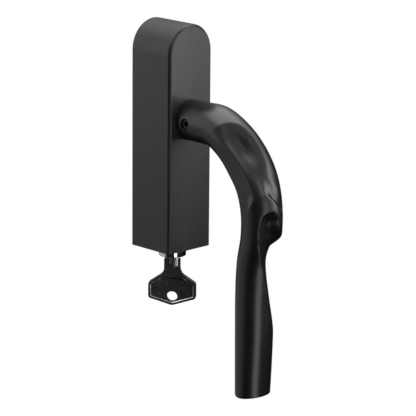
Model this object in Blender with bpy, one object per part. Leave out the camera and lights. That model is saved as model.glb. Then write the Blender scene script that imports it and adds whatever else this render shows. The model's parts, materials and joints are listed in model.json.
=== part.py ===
"""A lockable window handle, as the separate pieces it comes apart into.

A sculpted lever turns a square spindle. Inside the arched casing a pinion on that spindle drives two
racks in opposite directions, and their lugs reach back through the base plate into the window's
locking rods. A key lock in the casing's lower end lifts a bolt into a notched disc on the spindle.

The frame is in metres with +Z up. The origin lies on the mounting plane, on the lever's axis, and the
front faces -Y. Sizes are named in millimetres here, and the mesh helpers turn them into metres.
"""
import math

import bmesh
import bpy
from mathutils import Matrix, Vector

MM = 0.001
CLEARANCE = 0.3

# Casing: a deep box with a half-round top
CASE_HALF = 14.0
CASE_FRONT = -26.0
CASE_FOOT = -64.5
ARCH_HEIGHT = 32.0
CASE_WALL = 1.5
CASE_EDGE_RADIUS = 1.4
ARCH_SIDES = 24
INNER_HALF = CASE_HALF - CASE_WALL
INNER_FRONT = CASE_FRONT + CASE_WALL

# Base plate and what holds it
PLATE_THICKNESS = 2.0
INSERT_PLACES = {"top": 38.0, "bottom": -54.0}
INSERT_RADIUS = 3.5
INSERT_BORE = 2.1
INSERT_DEPTH = 6.0
PLATE_BOSS_RADIUS = 4.5
PLATE_SCREW_PLACES = [(7.9, 37.2), (-7.9, 37.2), (9.4, -59.4), (-9.4, -59.4)]
BEARING_SCREW_PLACES = [(9.5, 24.0), (-9.5, 24.0), (9.5, -24.0), (-9.5, -24.0)]
SCREW_HEAD_RADIUS = 2.3
SCREW_HEAD_DEPTH = 1.2
SCREW_SHANK_RADIUS = 1.2
SCREW_LENGTH = 7.0
BOSS_RADIUS = 2.3

# Spindle and lever root
SPINDLE_HALF = 3.5
SPINDLE_BACK = -8.0
SPINDLE_FRONT = -45.0
SOCKET_HALF = SPINDLE_HALF + 0.2
NECK_RADIUS = 9.9
NECK_BACK = CASE_FRONT - CLEARANCE
SPIGOT_RADIUS = 7.0
SPIGOT_BACK = -21.5
HUB_HOLE_RADIUS = 8.8
GRUB_Y = -32.0
GRUB_RADIUS = 2.5

# Gear train
TEETH = 14
MODULE = 1.0
PITCH_RADIUS = TEETH * MODULE / 2
PRESSURE_ANGLE = math.radians(20)
BACKLASH = 0.16
GEAR_FRONT = -12.5
GEAR_BACK = -6.5
RACK_OUTER = 11.0
RACK_LOW = -32.0
RACK_HIGH = 6.0
LUG_HALF = 3.5
LUG_HEIGHT = 6.0
LUG_END = 11.0
JOURNAL_RADIUS = 5.7
JOURNAL_FRONT = -15.3
TAIL_RADIUS = 2.0
TAIL_BACK = -1.0

# Bearing plate, detent cam and leaf springs, between the gears and the casing's front wall
BEARING_FRONT = -14.7
BEARING_BACK = -12.9
BEARING_HALF_HEIGHT = 28.0
CAM_HALF = 6.1
CAM_ROUNDING = 4.4
CAM_FRONT = -18.3
CAM_BACK = -15.6
SPRING_NEAR = 6.35
SPRING_FAR = 6.95
SPRING_HALF_LENGTH = 14.5

# Lock
LOCK_Y = -13.7
KEY_CLOCKING = math.radians(-50)
BOLT_TRAVEL = 3.5
DISC_RADIUS = 10.0
DISC_FRONT = -21.2
DISC_BACK = -18.7
BOLT_FRONT = -21.0
BOLT_BACK = -19.0
BOLT_TIP = -10.5
BOLT_PIN_Z = -44.0
BOLT_PIN_RADIUS = 1.0
BOLT_NECK_Z = -13.5
COLLAR_HOLE_RADIUS = 7.0
DRUM_RADIUS = 4.6
PLUG_RADIUS = 3.85
BLADE_HALF_WIDTH = 2.4
BLADE_HALF_THICKNESS = 0.8
WAFER_COUNT = 5
WAFER_FIRST = -65.0
WAFER_PITCH = 2.8
WAFER_THICKNESS = 0.8
KEY_HEAD_TOP = -71.2

FINISHES = {
    "black_coat": ((0.020, 0.021, 0.024), 0.42, 0.25),
    "zinc": ((0.42, 0.43, 0.45), 0.45, 0.9),
    "steel": ((0.46, 0.47, 0.49), 0.38, 1.0),
    "spring_steel": ((0.30, 0.31, 0.34), 0.35, 1.0),
    "brass": ((0.62, 0.46, 0.20), 0.35, 1.0),
    "chrome": ((0.80, 0.81, 0.83), 0.12, 1.0),
    "black_plastic": ((0.022, 0.022, 0.023), 0.5, 0.0),
    "white_plastic": ((0.72, 0.71, 0.67), 0.5, 0.0),
}


# ---------------------------------------------------------------- helpers

def clear_scene():
    for old in list(bpy.data.objects):
        bpy.data.objects.remove(old, do_unlink=True)


def finish(name):
    """The material of one finish, made once."""
    material = bpy.data.materials.get(name)
    if material is None:
        colour, roughness, metallic = FINISHES[name]
        material = bpy.data.materials.new(name)
        material.use_nodes = True
        shader = material.node_tree.nodes["Principled BSDF"]
        shader.inputs["Base Color"].default_value = (*colour, 1.0)
        shader.inputs["Roughness"].default_value = roughness
        shader.inputs["Metallic"].default_value = metallic
    return material


def place(name, bm, coat=None, parent=None):
    """Write a bmesh in millimetres into an object in metres; without a coat it is a cutter."""
    bmesh.ops.remove_doubles(bm, verts=bm.verts, dist=1e-4)
    bmesh.ops.recalc_face_normals(bm, faces=bm.faces)
    bmesh.ops.scale(bm, vec=(MM, MM, MM), verts=bm.verts)
    mesh = bpy.data.meshes.new(name)
    bm.to_mesh(mesh)
    bm.free()
    piece = bpy.data.objects.new(name, mesh)
    bpy.context.scene.collection.objects.link(piece)
    piece.parent = parent
    if coat is None:
        piece.hide_render = True
        piece.display_type = "WIRE"
    else:
        mesh.materials.append(finish(coat))
        mesh.shade_smooth()
        mesh.set_sharp_from_angle(angle=math.radians(35))
    return piece


def combine(target, tool, operation="DIFFERENCE"):
    """Cut a piece with a tool, or join the tool to it."""
    boolean = target.modifiers.new(operation.lower(), "BOOLEAN")
    boolean.operation = operation
    boolean.solver = "EXACT"
    boolean.object = tool


def axis_frame(axis):
    """Turns a shape drawn in XY and raised along Z to stand along the axis named."""
    columns = {
        "Z": ((1, 0, 0), (0, 1, 0), (0, 0, 1)),
        "Y": ((1, 0, 0), (0, 0, 1), (0, 1, 0)),
        "X": ((0, 1, 0), (0, 0, 1), (1, 0, 0)),
    }[axis]
    return Matrix(columns).transposed().to_4x4()


def add_prism(bm, outline, axis, low, high):
    """An outline raised from low to high; on Y it is drawn in (x, z), on X in (y, z)."""
    frame = axis_frame(axis)
    corners = [bm.verts.new(frame @ Vector((u, v, low))) for u, v in outline]
    face = bm.faces.new(corners)
    raised = bmesh.ops.extrude_face_region(bm, geom=[face])["geom"]
    top = [item for item in raised if isinstance(item, bmesh.types.BMVert)]
    bmesh.ops.translate(bm, verts=top, vec=frame @ Vector((0, 0, high - low)))


def add_rod(bm, radius, centre, axis, low, high, sides=20):
    circle = [(centre[0] + u, centre[1] + v) for u, v in arc(radius, 0, 360, sides, closed=True)]
    add_prism(bm, circle, axis, low, high)


def add_box(bm, low, high):
    outline = [(low[0], low[1]), (high[0], low[1]), (high[0], high[1]), (low[0], high[1])]
    add_prism(bm, outline, "Z", low[2], high[2])


def add_turned(bm, profile, axis, centre=(0, 0), sides=32, closed=False):
    """A profile of (radius, height) points spun round the axis; closed joins its two ends."""
    frame = axis_frame(axis)
    origin = frame @ Vector((centre[0], centre[1], 0))
    turned = [bm.verts.new(origin + frame @ Vector((r, 0, h))) for r, h in profile]
    pairs = list(zip(turned, turned[1:]))
    if closed:
        pairs.append((turned[-1], turned[0]))
    edges = [bm.edges.new(pair) for pair in pairs]
    bmesh.ops.spin(bm, geom=turned + edges, cent=origin, axis=frame @ Vector((0, 0, 1)),
                   angle=math.tau, steps=sides, use_merge=True)
    bmesh.ops.remove_doubles(bm, verts=bm.verts, dist=1e-4)


def arc(radius, start, end, sides, centre=(0, 0), closed=False):
    """Points along an arc, in degrees; a closed one leaves out the last point."""
    count = sides if closed else sides + 1
    angles = [math.radians(start + (end - start) * i / sides) for i in range(count)]
    return [(centre[0] + radius * math.cos(a), centre[1] + radius * math.sin(a)) for a in angles]


def rectangle(half_u, half_v, centre=(0, 0)):
    signs = [(-1, -1), (1, -1), (1, 1), (-1, 1)]
    return [(centre[0] + half_u * su, centre[1] + half_v * sv) for su, sv in signs]


def rounded(corners, radius, steps=4):
    """An outline whose corners are replaced by arcs that touch both sides."""
    points = []
    for index, corner in enumerate(corners):
        here = Vector(corner)
        back = (Vector(corners[index - 1]) - here).normalized()
        ahead = (Vector(corners[(index + 1) % len(corners)]) - here).normalized()
        half_angle = back.angle(ahead) / 2
        centre = here + (back + ahead).normalized() * (radius / math.sin(half_angle))
        start = here + back * (radius / math.tan(half_angle)) - centre
        end = here + ahead * (radius / math.tan(half_angle)) - centre
        turn = math.atan2(start.x * end.y - start.y * end.x, start.dot(end))
        for step in range(steps + 1):
            spoke = Matrix.Rotation(turn * step / steps, 2) @ start
            points.append(tuple(centre + spoke))
    return points


def axis_empty(name, place_mm, parent=None, turn=0.0):
    """An empty on a joint's axis, which the moving pieces hang from."""
    empty = bpy.data.objects.new(name, None)
    empty.empty_display_size = 0.01
    empty.location = Vector(place_mm) * MM
    empty.rotation_euler.z = turn
    empty.parent = parent
    bpy.context.scene.collection.objects.link(empty)
    return empty


def rod(name, radius, centre, axis, low, high, coat=None, parent=None, sides=20):
    bm = bmesh.new()
    add_rod(bm, radius, centre, axis, low, high, sides)
    return place(name, bm, coat, parent)


def box(name, low, high, coat=None, parent=None):
    bm = bmesh.new()
    add_box(bm, low, high)
    return place(name, bm, coat, parent)


def prism(name, outline, axis, low, high, coat=None, parent=None):
    bm = bmesh.new()
    add_prism(bm, outline, axis, low, high)
    return place(name, bm, coat, parent)


def turned(name, profile, axis, centre=(0, 0), coat=None, parent=None, sides=32, closed=False):
    bm = bmesh.new()
    add_turned(bm, profile, axis, centre, sides, closed)
    return place(name, bm, coat, parent)


def arched_outline(half, foot):
    """The casing's outline: straight sides, a flat foot and a half-round top."""
    return [(-half, foot), (half, foot)] + arc(half, 0, 180, ARCH_SIDES, (0, ARCH_HEIGHT))


# ---------------------------------------------------------------- casing and base plate

def make_casing():
    bm = bmesh.new()
    add_prism(bm, arched_outline(CASE_HALF, CASE_FOOT), "Y", CASE_FRONT, 0)
    front_rim = []
    for edge in bm.edges:
        on_front = all(abs(v.co.y - CASE_FRONT) < 1e-3 for v in edge.verts)
        on_foot = all(abs(v.co.z - CASE_FOOT) < 1e-3 for v in edge.verts)
        if on_front and not on_foot:
            front_rim.append(edge)
    bmesh.ops.bevel(bm, geom=front_rim, offset=CASE_EDGE_RADIUS, segments=3, profile=0.5,
                    affect="EDGES", clamp_overlap=False)
    casing = place("casing", bm, "black_coat")

    hollow = prism("casing_hollow", arched_outline(INNER_HALF, CASE_FOOT + CASE_WALL), "Y",
                   INNER_FRONT, 1)
    combine(casing, hollow)

    bm = bmesh.new()
    wall_bite = INNER_FRONT - 0.5
    bearing_boss_back = BEARING_FRONT - CLEARANCE
    spring_seat_back = bearing_boss_back - 0.2
    bolt_guide_back = DISC_BACK - 0.2
    for x, z in PLATE_SCREW_PLACES:
        add_rod(bm, BOSS_RADIUS, (x, z), "Y", wall_bite, -PLATE_THICKNESS - CLEARANCE, 12)
    for x, z in BEARING_SCREW_PLACES:
        add_rod(bm, BOSS_RADIUS, (x, z), "Y", wall_bite, bearing_boss_back, 12)
    for side in (-1, 1):
        for end in (-1, 1):
            seat_x = sorted((side * 7.3, side * (INNER_HALF + 0.4)))
            seat_z = sorted((end * 11.5, end * 13.5))
            add_box(bm, (seat_x[0], wall_bite, seat_z[0]), (seat_x[1], spring_seat_back, seat_z[1]))
        guide_x = sorted((side * 4.3, side * 6.0))
        add_box(bm, (guide_x[0], wall_bite, -36), (guide_x[1], bolt_guide_back, -18))
    combine(casing, place("casing_bosses", bm), "UNION")

    bm = bmesh.new()
    pilot = SCREW_SHANK_RADIUS + 0.2
    plate_pilot_end = -11.0
    bearing_pilot_end = -22.0
    for x, z in PLATE_SCREW_PLACES:
        add_rod(bm, pilot, (x, z), "Y", plate_pilot_end, 1, 10)
    for x, z in BEARING_SCREW_PLACES:
        add_rod(bm, pilot, (x, z), "Y", bearing_pilot_end, bearing_boss_back + 1, 10)
    add_rod(bm, HUB_HOLE_RADIUS, (0, 0), "Y", CASE_FRONT - 1, INNER_FRONT + 1, 40)
    add_rod(bm, COLLAR_HOLE_RADIUS, (0, LOCK_Y), "Z", CASE_FOOT - 1, CASE_FOOT + CASE_WALL + 0.5, 36)
    combine(casing, place("casing_holes", bm))


def make_base_plate():
    half = INNER_HALF - CLEARANCE
    outline = arched_outline(half, CASE_FOOT + CASE_WALL + CLEARANCE)
    plate = prism("base_plate", outline, "Y", -PLATE_THICKNESS, 0, "steel")

    bm = bmesh.new()
    for height in INSERT_PLACES.values():
        add_rod(bm, PLATE_BOSS_RADIUS, (0, height), "Y", -INSERT_DEPTH, -PLATE_THICKNESS / 2, 24)
    combine(plate, place("base_plate_bosses", bm), "UNION")

    bm = bmesh.new()
    for height in INSERT_PLACES.values():
        add_rod(bm, INSERT_RADIUS + 0.2, (0, height), "Y", -INSERT_DEPTH - 1, 1, 24)
    slot_near = 3.6
    slot_far = -RACK_LOW + 0.4
    slot_middle = (slot_near + slot_far) / 2
    slot_half = (slot_far - slot_near) / 2
    for side in (-1, 1):
        slot = rectangle(LUG_HALF + 0.4, slot_half, (0, side * slot_middle))
        add_prism(bm, slot, "Y", -PLATE_THICKNESS - 1, 1)
    add_rod(bm, TAIL_RADIUS + CLEARANCE, (0, 0), "Y", -PLATE_THICKNESS - 1, TAIL_BACK + CLEARANCE, 20)
    for x, z in PLATE_SCREW_PLACES:
        sink = SCREW_HEAD_RADIUS + 0.25
        shank = SCREW_SHANK_RADIUS + 0.25
        cone = [(0, -PLATE_THICKNESS - 1), (shank, -PLATE_THICKNESS - 1), (shank, -SCREW_HEAD_DEPTH),
                (sink, -0.1), (sink, 1), (0, 1)]
        add_turned(bm, cone, "Y", (x, z), 12)
    combine(plate, place("base_plate_holes", bm))

    for where, height in INSERT_PLACES.items():
        ring = [(INSERT_BORE, 0), (INSERT_RADIUS, 0), (INSERT_RADIUS, -1.2), (INSERT_RADIUS - 0.4, -1.6),
                (INSERT_RADIUS - 0.4, -4.4), (INSERT_RADIUS, -4.8), (INSERT_RADIUS, -INSERT_DEPTH),
                (INSERT_BORE, -INSERT_DEPTH)]
        turned("threaded_insert_" + where, ring, "Y", (0, height), "brass", sides=20, closed=True)


def countersunk_screw(name, x, z, head_y, parent=None):
    """A cross-recess countersunk screw whose head faces +Y."""
    profile = [(0, head_y), (SCREW_HEAD_RADIUS, head_y), (SCREW_SHANK_RADIUS, head_y - SCREW_HEAD_DEPTH),
               (SCREW_SHANK_RADIUS, head_y - SCREW_LENGTH + 0.6), (0.6, head_y - SCREW_LENGTH),
               (0, head_y - SCREW_LENGTH)]
    screw = turned(name, profile, "Y", (x, z), "steel", parent, sides=12)
    bm = bmesh.new()
    add_prism(bm, rectangle(1.3, 0.3, (x, z)), "Y", head_y - 0.7, head_y + 1)
    combine(screw, place(name + "_slot", bm))


def make_case_screws():
    for number, (x, z) in enumerate(PLATE_SCREW_PLACES, 1):
        countersunk_screw(f"plate_screw_{number}", x, z, -0.15)
    for number, (x, z) in enumerate(BEARING_SCREW_PLACES, 1):
        countersunk_screw(f"bearing_screw_{number}", x, z, -13.05)


# ---------------------------------------------------------------- gear train

def involute_gear(teeth, module):
    """One gear outline with involute flanks, a tooth centred on angle 0."""
    pitch = teeth * module / 2
    base = pitch * math.cos(PRESSURE_ANGLE)
    tip = pitch + 0.9 * module
    root = pitch - 1.15 * module
    half_tooth = (math.pi * module / 2 - BACKLASH) / 2 / pitch
    involute_at_pitch = math.tan(PRESSURE_ANGLE) - PRESSURE_ANGLE
    flank = []
    for step in range(4):
        radius = base + (tip - base) * step / 3
        alpha = math.acos(min(1.0, base / radius))
        flank.append((radius, half_tooth + involute_at_pitch - (math.tan(alpha) - alpha)))
    points = []
    for tooth in range(teeth):
        centre = math.tau * tooth / teeth
        rising = [(root, flank[0][1] + 0.02)] + flank
        ordered = [(r, centre - a) for r, a in rising] + [(r, centre + a) for r, a in reversed(rising)]
        points += [(r * math.cos(a), r * math.sin(a)) for r, a in ordered]
    return points


def make_pinion(lever_axis):
    bm = bmesh.new()
    add_prism(bm, involute_gear(TEETH, MODULE), "Y", GEAR_FRONT, GEAR_BACK)
    pinion = place("pinion", bm, "steel", lever_axis)
    bm = bmesh.new()
    add_rod(bm, JOURNAL_RADIUS, (0, 0), "Y", JOURNAL_FRONT, GEAR_FRONT + 0.5, 28)
    add_rod(bm, TAIL_RADIUS, (0, 0), "Y", GEAR_BACK - 0.5, TAIL_BACK, 16)
    combine(pinion, place("pinion_journals", bm, parent=lever_axis), "UNION")
    socket = prism("pinion_socket", rectangle(SOCKET_HALF, SOCKET_HALF), "Y", JOURNAL_FRONT - 1,
                   SPINDLE_BACK + CLEARANCE, parent=lever_axis)
    combine(pinion, socket)


def rack_outline():
    """The right rack in (x, z): straight-flanked teeth toward the pinion, a plain back."""
    tip_x = PITCH_RADIUS - 0.8 * MODULE
    root_x = PITCH_RADIUS + 1.1 * MODULE
    slope = math.tan(PRESSURE_ANGLE)
    half_pitch_width = (math.pi * MODULE / 2 - BACKLASH) / 2
    half_tip = half_pitch_width - 0.8 * MODULE * slope
    half_root = half_pitch_width + 1.1 * MODULE * slope
    points = [(RACK_OUTER, RACK_HIGH), (RACK_OUTER, RACK_LOW), (root_x, RACK_LOW)]
    first = math.ceil((RACK_LOW + 1.2) / (math.pi * MODULE) - 0.5)
    last = math.floor((RACK_HIGH - 1.2) / (math.pi * MODULE) - 0.5)
    for tooth in range(first, last + 1):
        middle = (tooth + 0.5) * math.pi * MODULE
        points.append((root_x, middle - half_root))
        points.append((tip_x, middle - half_tip))
        points.append((tip_x, middle + half_tip))
        points.append((root_x, middle + half_root))
    points.append((root_x, RACK_HIGH))
    return points


def make_rack(name, side, slide):
    """A rack with its foot and drive lug; the left one is the right one turned half round Y."""
    half_turn = Matrix.Rotation(0 if side > 0 else math.pi, 4, "Y")
    bm = bmesh.new()
    add_prism(bm, rack_outline(), "Y", GEAR_FRONT, GEAR_BACK)
    bmesh.ops.transform(bm, matrix=half_turn, verts=bm.verts)
    rack = place(name, bm, "zinc", slide)
    foot_front = GEAR_BACK + 0.4
    foot_back = -PLATE_THICKNESS - 0.4
    foot = [(-LUG_HALF, LUG_END), (LUG_HALF, LUG_END), (LUG_HALF, foot_back), (RACK_OUTER - 0.2, foot_back),
            (RACK_OUTER - 0.2, -9), (8.8, -9), (8.8, foot_front), (-LUG_HALF, foot_front)]
    bm = bmesh.new()
    add_prism(bm, foot, "Z", RACK_LOW + 0.2, RACK_LOW + LUG_HEIGHT)
    bmesh.ops.transform(bm, matrix=half_turn, verts=bm.verts)
    combine(rack, place(name + "_foot", bm, parent=slide), "UNION")


def make_bearing_plate():
    outline = rounded(rectangle(INNER_HALF - CLEARANCE, BEARING_HALF_HEIGHT), 2, 3)
    plate = prism("bearing_plate", outline, "Y", BEARING_FRONT, BEARING_BACK, "steel")
    below = BEARING_FRONT - 1
    above = BEARING_BACK + 1
    bm = bmesh.new()
    add_rod(bm, JOURNAL_RADIUS + CLEARANCE, (0, 0), "Y", below, above, 28)
    for x, z in BEARING_SCREW_PLACES:
        shank = SCREW_SHANK_RADIUS + 0.25
        sink = SCREW_HEAD_RADIUS + 0.25
        cone = [(0, below), (shank, below), (shank, BEARING_BACK - SCREW_HEAD_DEPTH),
                (sink, BEARING_BACK - 0.1), (sink, above), (0, above)]
        add_turned(bm, cone, "Y", (x, z), 12)
    combine(plate, place("bearing_plate_holes", bm))


# ---------------------------------------------------------------- lever and spindle pieces

LEVER_SPINE = [
    # y, z, half width across, half thickness
    (NECK_BACK, 0.0, NECK_RADIUS, NECK_RADIUS),
    (-36.0, 0.0, NECK_RADIUS, NECK_RADIUS),
    (-46.0, -0.6, 10.0, 10.2),
    (-57.3, -6.8, 10.2, 10.6),
    (-66.0, -15.6, 10.4, 10.8),
    (-71.6, -25.0, 10.2, 10.2),
    (-74.2, -36.5, 10.0, 9.5),
    (-73.8, -49.0, 9.9, 9.1),
    (-71.0, -62.0, 9.8, 8.5),
    (-70.1, -78.0, 9.7, 8.1),
    (-70.1, -96.0, 9.7, 8.0),
    (-69.9, -112.0, 9.6, 7.9),
    (-69.7, -125.8, 9.2, 7.6),
]
LEVER_TIP_SLANT = 0.14
LEVER_TIP_RADIUS = 1.8
LEVER_RINGS_PER_SPAN = 3
LEVER_SIDES = 32
THUMB_SCOOP_CENTRE = (12.1, -89.6, -66.0)
THUMB_SCOOP_RADII = (20.0, 20.0, 33.0)
ELBOW_SCOOP_CENTRE = (-21.5, -75.0, 3.0)
ELBOW_SCOOP_RADII = (19.5, 19.5, 30.0)
ELBOW_SCOOP_LEAN = 38


def smooth_between(before, start, end, after, t):
    """Catmull-Rom through rows of numbers."""
    row = []
    for p0, p1, p2, p3 in zip(before, start, end, after):
        a = 2 * p1
        b = p2 - p0
        c = 2 * p0 - 5 * p1 + 4 * p2 - p3
        d = 3 * p1 - p0 - 3 * p2 + p3
        row.append((a + b * t + c * t * t + d * t ** 3) / 2)
    return row


def lever_stations():
    rows = []
    last = len(LEVER_SPINE) - 1
    for span in range(last):
        quad = [LEVER_SPINE[max(0, min(last, span + k))] for k in (-1, 0, 1, 2)]
        for step in range(LEVER_RINGS_PER_SPAN):
            rows.append(smooth_between(*quad, step / LEVER_RINGS_PER_SPAN))
    rows.append(list(LEVER_SPINE[-1]))
    return rows


def add_lever_bar(bm):
    """Oval rings square to the spine, bridged, with a softened lower end."""
    rows = lever_stations()
    straight_from = len(rows) - 1
    y, z, across, thick = rows[-1]
    for degrees in (30, 60, 90):
        shrink = LEVER_TIP_RADIUS * (1 - math.cos(math.radians(degrees)))
        advance = LEVER_TIP_RADIUS * math.sin(math.radians(degrees))
        rows.append([y, z - advance, across - shrink, thick - shrink])
    rings = []
    for index, (y, z, across, thick) in enumerate(rows):
        ahead = rows[min(index + 1, len(rows) - 1)]
        behind = rows[max(index - 1, 0)]
        along = Vector((0, ahead[0] - behind[0], ahead[1] - behind[1])).normalized()
        if index == 0:
            along = Vector((0, -1, 0))
        if index >= straight_from:
            along = Vector((0, -LEVER_TIP_SLANT, -1)).normalized()
        outward = Vector((1, 0, 0)).cross(along)
        ring = []
        for side in range(LEVER_SIDES):
            angle = math.tau * side / LEVER_SIDES
            offset = Vector((1, 0, 0)) * across * math.cos(angle) + outward * thick * math.sin(angle)
            ring.append(bm.verts.new(Vector((0, y, z)) + offset))
        rings.append(ring)
    for lower, upper in zip(rings, rings[1:]):
        for side in range(LEVER_SIDES):
            nxt = (side + 1) % LEVER_SIDES
            bm.faces.new((lower[side], lower[nxt], upper[nxt], upper[side]))
    bm.faces.new(rings[0])
    bm.faces.new(rings[-1])


def add_ellipsoid(bm, centre, radii, lean=0, columns=28, rows=20):
    """An ellipsoid leaned about X by an angle in degrees."""
    rotation = Matrix.Rotation(math.radians(lean), 4, "X")
    matrix = Matrix.Translation(centre) @ rotation @ Matrix.Diagonal((*radii, 1))
    bmesh.ops.create_uvsphere(bm, u_segments=columns, v_segments=rows, radius=1, matrix=matrix)


def make_lever(lever_axis):
    bm = bmesh.new()
    add_lever_bar(bm)
    lever = place("lever", bm, "black_coat", lever_axis)

    spigot = [(0, -28), (SPIGOT_RADIUS, -28), (SPIGOT_RADIUS, -22.9), (6.2, -22.9), (6.2, -22.1),
              (SPIGOT_RADIUS, -22.1), (SPIGOT_RADIUS, SPIGOT_BACK), (0, SPIGOT_BACK)]
    combine(lever, turned("lever_spigot", spigot, "Y", parent=lever_axis, sides=32), "UNION")

    bm = bmesh.new()
    add_ellipsoid(bm, THUMB_SCOOP_CENTRE, THUMB_SCOOP_RADII)
    combine(lever, place("lever_thumb_scoop", bm, parent=lever_axis))
    bm = bmesh.new()
    add_ellipsoid(bm, ELBOW_SCOOP_CENTRE, ELBOW_SCOOP_RADII, lean=ELBOW_SCOOP_LEAN)
    combine(lever, place("lever_elbow_scoop", bm, parent=lever_axis))

    bm = bmesh.new()
    add_prism(bm, rectangle(SOCKET_HALF, SOCKET_HALF), "Y", SPINDLE_FRONT - 1, SPIGOT_BACK + 1)
    combine(lever, place("lever_socket", bm, parent=lever_axis))
    combine(lever, rod("lever_grub_hole", GRUB_RADIUS + 0.25, (GRUB_Y, 0), "X", -12, -3.0,
                       parent=lever_axis, sides=20))


def make_grub_screw(lever_axis):
    grub = turned("grub_screw", [(0, -8.9), (2.2, -8.9), (GRUB_RADIUS, -8.6), (GRUB_RADIUS, -4.6),
                                 (1.6, -3.9), (0, -3.9)], "X", (GRUB_Y, 0), "steel", lever_axis, 20)
    hexagon = [(GRUB_Y + u, v) for u, v in arc(1.45, 0, 360, 6, closed=True)]
    combine(grub, prism("grub_hexagon", hexagon, "X", -10, -6.6, parent=lever_axis))


def make_spindle(lever_axis):
    outline = rounded(rectangle(SPINDLE_HALF, SPINDLE_HALF), 0.4, 1)
    prism("spindle", outline, "Y", SPINDLE_FRONT, SPINDLE_BACK, "steel", lever_axis)


def make_lock_disc(lever_axis):
    disc = rod("lock_disc", DISC_RADIUS, (0, 0), "Y", DISC_FRONT, DISC_BACK, "steel", lever_axis, 48)
    bm = bmesh.new()
    add_prism(bm, rectangle(SOCKET_HALF, SOCKET_HALF), "Y", DISC_FRONT - 1, DISC_BACK + 1)
    for side in (-1, 1):
        add_prism(bm, rectangle(2.8, 2.7, (0, side * 9.3)), "Y", DISC_FRONT - 1, DISC_BACK + 1)
    combine(disc, place("lock_disc_cuts", bm, parent=lever_axis))


def make_detent(lever_axis):
    """A square cam whose flats rest against two leaf springs at every quarter turn."""
    cam = prism("detent_cam", rounded(rectangle(CAM_HALF, CAM_HALF), CAM_ROUNDING, 5), "Y", CAM_FRONT,
                CAM_BACK, "steel", lever_axis)
    combine(cam, prism("detent_cam_socket", rectangle(SOCKET_HALF, SOCKET_HALF), "Y", CAM_FRONT - 1,
                       CAM_BACK + 1, parent=lever_axis))
    for name, side in (("leaf_spring_left", -1), ("leaf_spring_right", 1)):
        low, high = sorted((side * SPRING_NEAR, side * SPRING_FAR))
        box(name, (low, CAM_FRONT + 0.1, -SPRING_HALF_LENGTH), (high, CAM_BACK - 0.1, SPRING_HALF_LENGTH),
            "spring_steel")


def make_neck_bearing(lever_axis):
    ring = [(7.3, -25.9), (8.5, -25.9), (8.5, -24.2), (10.2, -24.2), (10.2, -23.6), (7.3, -23.6)]
    turned("neck_bush", ring, "Y", coat="white_plastic", sides=36, closed=True)
    ring = [(7.3, -23.35), (9.6, -23.35), (9.6, -23.05), (7.3, -23.05)]
    turned("thrust_washer", ring, "Y", coat="spring_steel", sides=32, closed=True)
    clip = turned("retaining_ring", [(6.5, -22.75), (9.0, -22.75), (9.0, -22.25), (6.5, -22.25)], "Y",
                  coat="spring_steel", parent=lever_axis, sides=32, closed=True)
    combine(clip, box("retaining_ring_gap", (-1.8, -24, 4), (1.8, -21, 11), parent=lever_axis))


# ---------------------------------------------------------------- lock

def make_lock_body():
    bore = PLUG_RADIUS + CLEARANCE
    profile = [(bore, -68.0), (5.8, -68.0), (5.8, -62.7), (8.4, -62.7), (8.4, -60.9), (5.8, -60.9),
               (5.8, -47.6), (bore, -47.6)]
    body = turned("lock_cylinder", profile, "Z", (0, LOCK_Y), "brass", sides=32, closed=True)
    bm = bmesh.new()
    for side in (-1, 1):
        low, high = sorted((side * 6.6, side * 9))
        add_box(bm, (low, LOCK_Y - 9, -63.5), (high, LOCK_Y + 9, -60))
    combine(body, place("lock_cylinder_flats", bm))
    collar = [(6.1, -62.95), (6.65, -62.95), (6.65, -68.6), (6.0, -69.3), (4.3, -69.3), (4.3, -68.35),
              (6.1, -68.35)]
    turned("lock_collar", collar, "Z", (0, LOCK_Y), "chrome", sides=48, closed=True)


def make_plug(key_axis):
    """The turning plug, in the key's own frame: the blade is wide along X."""
    plug = turned("lock_plug", [(0, -69.6), (3.6, -69.6), (PLUG_RADIUS, -69.3), (PLUG_RADIUS, -47.0),
                                (2.0, -47.0), (2.0, -44.6), (0, -44.6)], "Z", coat="brass",
                  parent=key_axis, sides=28)
    way = rectangle(BLADE_HALF_WIDTH + 0.3, BLADE_HALF_THICKNESS + 0.3)
    combine(plug, prism("keyway", way, "Z", -71, -50.6, parent=key_axis))
    bm = bmesh.new()
    for number in range(WAFER_COUNT):
        height = WAFER_FIRST + number * WAFER_PITCH
        half = WAFER_THICKNESS / 2 + 0.2
        add_box(bm, (-5, -2.15, height - half), (5, 2.15, height + half))
    combine(plug, place("wafer_slots", bm, parent=key_axis))
    for number in range(WAFER_COUNT):
        height = WAFER_FIRST + number * WAFER_PITCH
        low = height - WAFER_THICKNESS / 2
        high = height + WAFER_THICKNESS / 2
        wafer = prism(f"wafer_{number + 1}", rectangle(3.2, 1.9), "Z", low, high, "brass", key_axis)
        window = rectangle(BLADE_HALF_WIDTH + 0.25, BLADE_HALF_THICKNESS + 0.25)
        combine(wafer, prism(f"wafer_window_{number + 1}", window, "Z", low - 1, high + 1,
                             parent=key_axis))


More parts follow.
